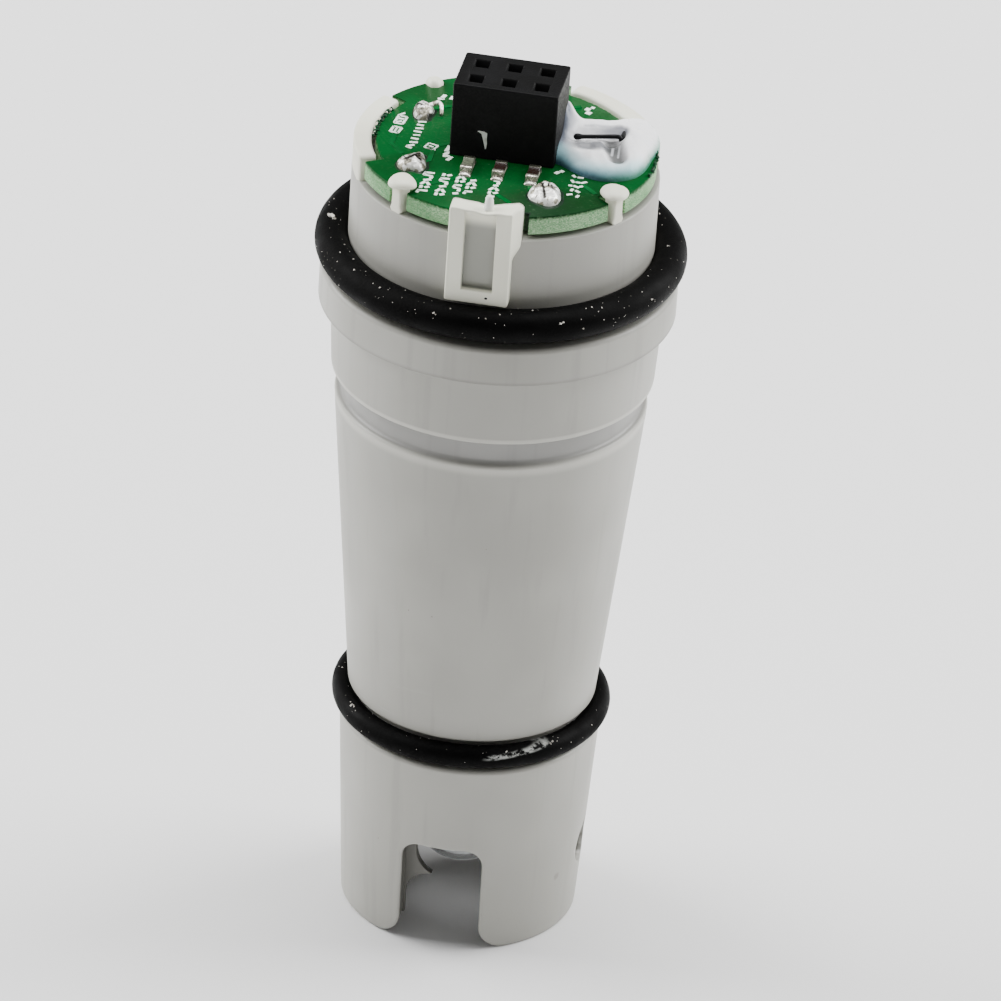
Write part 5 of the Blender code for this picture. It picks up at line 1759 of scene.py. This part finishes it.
@dataclass
class SealedLead:
    """The signal lead and the silicone round its bent end."""

    centre: Pair = (6.0, 0.6)
    outline: tuple[Pair, ...] = (
        (2.2, -1.2), (2.0, 0.8), (2.1, 2.9), (3.3, 3.5), (4.3, 3.55), (5.3, 3.65), (6.3, 4.0),
        (7.0, 4.9), (7.7, 5.1), (8.4, 3.95), (8.85, 2.7), (8.92, 1.9), (8.8, 1.2), (8.7, 0.6),
        (8.66, -0.09), (8.6, -0.58), (8.42, -1.31), (8.06, -2.02), (7.5, -2.51), (6.7, -2.85),
        (6.12, -2.9), (5.5, -2.8), (4.95, -2.6), (4.45, -2.25), (3.98, -1.96), (3.5, -1.5),
    )
    lead_place: Pair = (6.7, 1.05)
    lead_end: Pair = (4.1, 0.3)
    rise: float = 1.1
    levels: Levels = LEVELS

    def reach(self, angle: np.ndarray) -> np.ndarray:
        """The outline's distance from the centre at each angle.

        Args:
            angle: Evenly spaced angles over the whole turn.

        Returns:
            A smoothed distance for each angle.
        """
        given = np.array(self.outline) - np.array(self.centre)
        bearing = np.arctan2(given[:, 1], given[:, 0])
        away = np.hypot(given[:, 0], given[:, 1])
        order = np.argsort(bearing)
        found = np.interp(angle, bearing[order], away[order], period=2 * np.pi)
        pad = np.concatenate([found[-4:], found, found[:4]])
        return np.convolve(pad, np.ones(9) / 9, "valid")

    @staticmethod
    def to_line(x: np.ndarray, y: np.ndarray, start: Pair, end: Pair) -> np.ndarray:
        """Distance of points from a stretch of line.

        Args:
            x: First coordinates.
            y: Second coordinates.
            start: Where the stretch starts.
            end: Where it ends.

        Returns:
            The distances.
        """
        a, b = np.array(start), np.array(end)
        share = ((x - a[0]) * (b - a)[0] + (y - a[1]) * (b - a)[1]) / ((b - a) @ (b - a))
        share = np.clip(share, 0, 1)
        return np.hypot(x - a[0] - share * (b - a)[0], y - a[1] - share * (b - a)[1])

    def height(self, x: np.ndarray, y: np.ndarray, share: np.ndarray) -> np.ndarray:
        """Height of the silicone over the board.

        It rises steeply from its edge to a broad top, climbs the socket's side behind the lead, and is
        hollowed along the lead and in front of the lead's foot.

        Args:
            x: First coordinates.
            y: Second coordinates.
            share: Share of the way from the centre to the outline.

        Returns:
            The heights.
        """
        edge = (1 - share**4.5).clip(0, 1) ** 0.6
        climb = 1.75 * np.exp(-(((x - 3.05) / 0.55) ** 2)) / (1 + np.exp(-(y - 0.95) / 0.22))
        ridge = 0.2 * np.exp(-(((y - 2.5 - 0.12 * (x - 5)) / 0.75) ** 2)) / (1 + np.exp(-(x - 3.9) / 0.3))
        right = 0.22 * np.exp(-(((x - 7.9) / 0.7) ** 2)) * np.exp(-(((y - 0.6) / 2.0) ** 2))
        front = 0.06 * np.exp(-(((y + 1.3) / 0.5) ** 2)) * np.exp(-(((x - 4.9) / 1.0) ** 2))
        front = front - 0.28 * np.exp(-(((y + 0.55) / 0.5) ** 2)) * np.exp(-(((x - 5.0) / 1.0) ** 2))
        level = edge * (1.1 + ridge + right + front + climb)
        trough = np.exp(-((self.to_line(x, y, (4.1, 0.3), (6.5, 0.95)) / 0.5) ** 4))
        bank = np.exp(-((self.to_line(x, y, (4.1, 0.9), (6.5, 1.5)) / 0.6) ** 4))
        hollow = np.exp(-((self.to_line(x, y, (6.3, 0.3), (6.85, -1.3)) / 0.55) ** 4))
        level = level - 0.24 * trough * np.clip(level / 1.1, 0, 1) - 0.14 * bank
        return level - 0.5 * hollow * np.clip(level / 1.1, 0, 1)

    def build(self) -> None:
        """Make the silicone on a polar grid, and the wire along its route."""
        top = self.levels.board_top
        angle = np.linspace(-np.pi, np.pi, 220, endpoint=False)
        share = np.concatenate([np.linspace(1, 0.9, 14), np.linspace(0.89, 0.02, 74)])[:, None]
        reach = self.reach(angle)
        x = self.centre[0] + share * reach * np.cos(angle)
        y = self.centre[1] + share * reach * np.sin(angle)
        level = self.height(x, y, share + 0 * angle)
        grid = np.stack([x, y, top + 0.02 + level], axis=-1)
        grid[..., 2] += 0.05 * smooth_noise(grid, 77, 1.7) * (1 - share**4)
        base = grid[:1].copy()
        base[..., 2] = top - 0.02
        mound = made("silicone_mound", capped(np.concatenate([base, grid])))
        dressed(mound, Slot.SILICONE, SiliconeFinish().material(), "silicone_seal")
        self.wire()
        self.frays()

    def wire(self) -> None:
        """The wire: up the glass tube, across to its hole, up through the board and bent over, and a dark
        strip in the silicone where it goes down.
        """
        levels = self.levels
        x, y = self.lead_place
        end_x, end_y = self.lead_end
        over, bend = levels.board_top + self.rise, levels.board_foot - 2.0
        corners = np.array(
            [
                (0, 0, 5.6), (0, 0, bend - 0.7), (x * 0.12, y * 0.12, bend - 0.2),
                (x * 0.88, y * 0.88, bend + 0.2), (x, y, bend + 0.7), (x, y, over),
                (end_x, end_y, over - 0.02),
            ],
            float,
        )
        path = smoothed_path(corners, 0.3, 0.1)
        radius = np.full(len(path), 0.135)
        near = np.linalg.norm(path - path[-1], axis=1)
        radius += 0.065 * np.exp(-((near / 0.26) ** 4))
        metal = PlainFinish(
            "signal_wire_metal", (7, 7, 12), (3, 3, 6), 0.45, 0.1, 0.3, 0.6, 0.08, 0.01, 1.0, 0.25
        )
        dressed(made("signal_lead", swept(path, radius, 20)), Slot.WIRE, metal.material(), "signal_wire")
        # The slit where the lead goes down into the silicone, drawn as a flattened rod in the wire's dark
        # finish: the lead there, and painted shadow in the slit round it.
        ends = np.array([(x + 0.02, y - 0.25, over - 0.5), (x + 0.1, y + 0.4, over + 0.08)], float)
        slit = smoothed_path(ends, 0.1, 0.1)
        width = 0.17 * np.sin(np.linspace(0.5, math.pi - 0.5, len(slit))) ** 0.5
        dressed(made("lead_slit", swept(slit, width, 12)), Slot.SILICONE, metal.material())

    def fringe(
        self, rng: np.random.Generator, spots: np.ndarray, jitter: float, band: Pair, sizes: Triple,
        grow: Pair, lifts: Pair = (0.0, 0.0),
    ) -> list[Surface]:
        """Lumps along an edge of the board.

        Args:
            rng: The draws of their places and sizes.
            spots: Angles round the axis in degrees.
            jitter: How far an angle may be off, in degrees.
            band: Least and greatest distance from the axis.
            sizes: Half their extent along their own directions.
            grow: Least and greatest share of that extent.
            lifts: Height over the board up to 12 degrees and past them.

        Returns:
            The lumps.
        """
        lumps = []
        for degrees in spots:
            turn, away = math.radians(degrees + rng.uniform(-jitter, jitter)), rng.uniform(*band)
            high = self.levels.board_top + lifts[int(degrees > 12)]
            place = np.array([away * math.cos(turn), away * math.sin(turn), high])
            lumps.append(crumb(place, np.array(sizes) * rng.uniform(*grow), rng))
        return lumps

    def frays(self) -> None:
        """Torn bits of mask on the board's edge beside the silicone, and crumbs along the left rim."""
        rng = np.random.default_rng(21)
        right, left = np.linspace(-9.0, 16.0, 14), np.linspace(161.0, 188.0, 20)
        torn = self.fringe(rng, right, 0.8, (8.92, 9.06), (0.17, 0.13, 0.07), (0.7, 1.3), (0.02, 0.14))
        torn += self.fringe(rng, left, 0.6, (7.9, 8.12), (0.13, 0.1, 0.08), (0.7, 1.4))
        mask = PlainFinish("torn_mask_green", (4, 46, 26), (2, 66, 34), 0.5, 0.1, patch_size=0.3, gloss=0.15)
        dressed(made("torn_mask", joined(torn), sharp=50.0), Slot.BOARD, mask.material())
        rim = np.linspace(163.0, 187.0, 15)
        crumbs = self.fringe(rng, rim, 0.6, (7.98, 8.16), (0.09, 0.06, 0.08), (0.5, 1.2), (0.02, 0.02))
        dressed(made("rim_crumbs", joined(crumbs), sharp=50.0), Slot.MOULDING, CREAM.material())


# Glass and sensor


@dataclass
class GlassTube:
    """The glass tube with its thin bulb, one turned shell."""

    stem: float = 2.2
    stem_wall: float = 0.45
    bulb: float = 3.1
    bulb_wall: float = 0.35
    centre: float = 5.6
    top: float = 46.4

    def build(self) -> None:
        """Turn the shell: stem, bulb, and back up inside."""
        inner_stem, inner_bulb = self.stem - self.stem_wall, self.bulb - self.bulb_wall
        outer = np.linspace(math.acos(self.stem / self.bulb), -math.pi / 2 + 0.02, 30)
        inner = np.linspace(-math.pi / 2 + 0.02, math.acos(inner_stem / inner_bulb), 30)
        profile = np.vstack(
            [
                [[self.stem, self.top], [self.stem, 30.0], [self.stem, 9.5]],
                np.stack([self.bulb * np.cos(outer), self.centre + self.bulb * np.sin(outer)], axis=-1),
            ]
        )
        hollow = np.vstack(
            [
                np.stack([inner_bulb * np.cos(inner), self.centre + inner_bulb * np.sin(inner)], axis=-1),
                [[inner_stem, 9.5], [inner_stem, 30.0], [inner_stem, self.top]],
            ]
        )
        shell = sheet(turned_rows(profile, 72), closed=True)
        lining = sheet(turned_rows(hollow, 72), closed=True)
        for part, row in ((shell, len(profile) - 1), (lining, 0)):
            part.faces.append(tuple(row * 72 + i for i in range(72)))
        both = shell + lining
        step = len(shell.points) + (len(hollow) - 1) * 72
        both.faces.extend((i, (i + 1) % 72, step + (i + 1) % 72, step + i) for i in range(72))
        dressed(made("glass_bulb", both), Slot.GLASS, GlassFinish().material(), "glass_electrode")


@dataclass
class SensorRod:
    """The temperature sensor's dark sleeve with a round tip."""

    angle: float = -128.0
    away: float = 4.95
    radius: float = 0.85
    tip: float = 3.6
    top: float = 15.2

    def build(self) -> None:
        """Turn the rod and place it."""
        turn = np.linspace(0, -math.pi / 2 + 0.05, 12)
        shank = [[self.radius - 0.1, self.top], [self.radius, self.top - 0.1], [self.radius, 9.0]]
        tip = self.radius * np.stack([np.cos(turn), np.sin(turn)], axis=-1) + [0.0, self.tip + self.radius]
        profile = np.vstack([shank, tip])
        x = self.away * math.cos(math.radians(self.angle))
        y = self.away * math.sin(math.radians(self.angle))
        rod = capped(turned_rows(profile, 36)).shifted(x, y)
        sleeve = PlainFinish(
            "sleeve_grey", (92, 92, 88), (70, 70, 66), 0.45, 0.1, patch_size=1.5, relief=0.02
        )
        dressed(made("sensor_rod", rod), Slot.SLEEVE, sleeve.material(), "temperature_sensor")


# What keeps its own solid


@dataclass
class CarriedSolids:
    """The CAD pieces that keep their own shape and only take a finish."""

    finishes: dict[str, PlainFinish] = field(
        default_factory=lambda: {
            "socket_contact": PlainFinish(
                "contact_metal", (126, 118, 100), (86, 80, 70), 0.3, 0.1, 0.95, 0.8, 0.08, 0.006
            ),
            "tube_stopper": PlainFinish("stopper_rubber", (74, 74, 72), (58, 58, 56), 0.6, 0.1),
            "stem_seal": PlainFinish("grommet_rubber", (66, 66, 64), (50, 50, 48), 0.6, 0.1),
            "top_plug": PlainFinish("plug_rubber", (70, 70, 68), (56, 56, 54), 0.6, 0.1, patch_size=3.0),
            "reference_wire": PlainFinish("reference_silver", (150, 146, 140), (96, 92, 88), 0.35, 0.1, 0.9),
            "junction_plug": PlainFinish(
                "junction_ceramic", (226, 224, 216), (204, 200, 190), 0.85, 0.08, patch_size=0.4, relief=0.04
            ),
            "sensor_lead": PlainFinish("lead_copper", (176, 120, 84), (140, 96, 66), 0.35, 0.1, 0.9),
        }
    )

    def build(self, nodes: dict[str, bpy.types.Object]) -> None:
        """Give each solid the finish of its kind."""
        materials = {kind: finish.material() for kind, finish in self.finishes.items()}
        for name, solid in nodes.items():
            for kind, material in materials.items():
                if name.startswith(kind):
                    for slot in solid.material_slots:
                        slot.material = material
                    LOG.info("%s: its own solid", name)


# Studio


@dataclass
class Studio:
    """A pale floor, soft lights and the camera."""

    place: Triple = (0.0806391, -0.5257438, 0.3340918)
    right: Triple = (0.98132544, 0.18302074, 0.05919282)
    up: Triple = (-0.14199838, 0.48168821, 0.86476178)
    lens: float = 359.64

    def light(self, name: str, at: Triple, size: float, power: float) -> None:
        """A soft square light that faces the middle of the electrode.

        Args:
            name: The light's name.
            at: Its place in metres.
            size: Its side in metres.
            power: Its power in watts.
        """
        lamp = bpy.data.lights.new(name, "AREA")
        lamp.size, lamp.energy = size, power
        holder = bpy.data.objects.new(name, lamp)
        bpy.context.scene.collection.objects.link(holder)
        away = np.array(at) - np.array([0, 0, 0.03])
        away /= np.linalg.norm(away)
        side = np.cross([0.0, 0.001, 1.0], away)
        side /= np.linalg.norm(side)
        rise = np.cross(away, side)
        columns = np.column_stack([side, rise, away])
        holder.matrix_world = Matrix.Translation(at) @ Matrix(columns.tolist()).to_4x4()

    def build(self) -> None:
        """Make the floor, the world's light, the lamps and the camera."""
        half = 6.0
        mesh = bpy.data.meshes.new("studio_floor")
        square = [(-half, -half, 0), (half, -half, 0), (half, half, 0), (-half, half, 0)]
        mesh.from_pydata(square, [], [(0, 1, 2, 3)])
        floor = bpy.data.objects.new("studio_floor", mesh)
        bpy.context.scene.collection.objects.link(floor)
        shader = Shader("floor_white")
        shader.dress(base_color=(0.82, 0.82, 0.82, 1.0), roughness=0.9)
        mesh.materials.append(shader.material)
        world = bpy.data.worlds.new("studio_world")
        world.use_nodes = True
        background = world.node_tree.nodes["Background"]
        background.inputs[0].default_value = (1.0, 1.0, 1.0, 1.0)
        background.inputs[1].default_value = 0.3
        bpy.context.scene.world = world
        self.light("top_light", (0.0, 0.12, 0.72), 0.45, 6.0)
        self.light("left_light", (-0.51, 0.1, 0.33), 0.4, 5.6)
        self.light("right_light", (0.46, 0.25, 0.33), 0.4, 5.6)
        lens = bpy.data.cameras.new("photo_camera")
        lens.sensor_width, lens.lens = 36.0, self.lens
        lens.clip_start, lens.clip_end = 0.01, 50.0
        camera = bpy.data.objects.new("photo_camera", lens)
        bpy.context.scene.collection.objects.link(camera)
        back = np.cross(self.right, self.up)
        columns = np.column_stack([self.right, self.up, back])
        camera.matrix_world = Matrix.Translation(self.place) @ Matrix(columns.tolist()).to_4x4()
        bpy.context.scene.camera = camera


# Angle round the axis, angle over the section, size and flatness of each larger crumb
UPPER_MARKS = (
    (-171.7, 88, 0.26, 0.5), (-173.4, 80, 0.17, 0.5), (-170.3, 94, 0.15, 0.6),
    (-122.0, 60, 0.08, 0.6), (-101.0, 40, 0.09, 0.6), (-100.2, 36, 0.06, 0.6),
    (-61.0, 30, 0.1, 0.5), (-60.1, 34, 0.07, 0.6), (-26.0, 20, 0.09, 0.6), (-141.0, 95, 0.07, 0.6),
    (-49.0, 70, 0.06, 0.6),
)
# A whitish band on the lower ring: from and to round the axis in degrees, and its height at both ends
PALE_BAND = (-76.0, -44.0, 14.66, 15.02)
LOWER_MARKS = (
    (-44.0, 52, 0.12, 0.4), (-42.7, 55, 0.09, 0.4), (-40.5, 50, 0.06, 0.4), (-143.5, 62, 0.1, 0.5),
    (-141.5, 66, 0.07, 0.5), (-145.5, 70, 0.06, 0.5), (-139.0, 58, 0.05, 0.5),
)


# Outline as bearing and reach, height, the lead's stub, lines of painted crease shade, and how full the lump
# is
JOINTS = (
    SolderJoint(
        1, -5.68, 2.55,
        (
            (10, 0.6), (50, 0.85), (90, 1.0), (125, 0.95), (165, 0.62),
            (210, 0.6), (260, 0.9), (290, 1.0), (330, 0.6),
        ),
        0.62,
        ((0.3, 0.3, 0.42), (0.75, 0.8, 0.5), (1.0, 0.6, 0.42), (1.12, 0.02, 0.12)),
        ((-6.1, 2.75, -5.75, 2.45, 0.13), (-5.2, 1.9, -4.95, 2.5, 0.2)),
    ),
    SolderJoint(
        2, -5.1, -4.1,
        (
            (18, 0.85), (55, 1.08), (74, 1.55), (90, 1.1), (106, 0.89), (147, 0.86),
            (198, 0.91), (234, 0.98), (262, 1.02), (277, 0.6), (304, 1.05), (323, 1.0),
        ),
        0.5,
        ((-0.5, -0.35, 0.3), (0.0, 0.1, 0.55), (0.35, 0.5, 0.5)),
        (
            (-5.45, -4.45, -4.75, -3.65, 0.09), (-4.95, -3.9, -4.6, -4.15, 0.13),
            (-5.6, -4.0, -5.3, -4.6, 0.06),
        ),
        3.4,
    ),
    SolderJoint(
        3, 3.32, -5.62,
        (
            (6, 0.92), (40, 1.0), (68, 1.12), (104, 1.3), (145, 0.95),
            (222, 1.1), (252, 1.12), (292, 1.45), (340, 1.05),
        ),
        0.66,
        ((-0.25, 0.75, 0.2), (-0.15, 0.6, 0.6), (0.1, 0.2, 0.62)),
        (
            (2.75, -4.7, 3.1, -5.5, 0.1), (3.1, -5.5, 3.45, -6.6, 0.11), (3.6, -5.2, 3.72, -5.35, 0.09),
            (3.72, -5.75, 3.8, -5.9, 0.08), (3.45, -5.35, 3.5, -5.7, 0.07),
        ),
        3.0,
    ),
)
# Index, X of the middle and colour of each chip
CHIPS = (
    ChipResistor(1, -1.78, (104, 110, 92)),
    ChipResistor(2, 0.16, (44, 26, 22)),
    ChipResistor(3, 2.2, (34, 18, 12)),
)
# Index, angle, half width and half depth of the head, its height and foot, and its lean
STAKES = (
    HeatStake(1, -125.7, 0.84, 0.84, 0.62, 52.85, 0.25),
    HeatStake(2, -33.0, 0.9, 0.86, 0.62, 52.85),
    HeatStake(3, 131.0, 0.64, 0.64, 1.1, 52.0),
)
RINGS = (
    SealRing("upper_ring", "upper_o_ring", 10.25, 2.1, LEVELS.upper_ring, 3, crumbs=150, marks=UPPER_MARKS),
    SealRing("lower_ring", "lower_o_ring", 7.925, 1.45, LEVELS.lower_ring, 8, marks=LOWER_MARKS, pale_band=PALE_BAND),
)


def corners(bounds: object) -> list[list[float]]:
    """A box as plain lists."""
    return [[float(v) for v in corner] for corner in bounds]


def main() -> None:
    """Build every piece in order."""
    logging.basicConfig(level=logging.INFO, format="%(name)s: %(message)s")
    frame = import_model()
    moulding = (MouldedBody(), LocatingKey(), GuardWeb(), RimSegments(), *STAKES)
    board = (CircuitBoard(), Socket(), *CHIPS, *JOINTS, SealedLead())
    for piece in (Studio(), *moulding, *RINGS, *board, GlassTube(), SensorRod()):
        piece.build()
    CarriedSolids().build(frame["nodes"])
    bpy.context.view_layer.update()


if __name__ == "__main__":
    main()
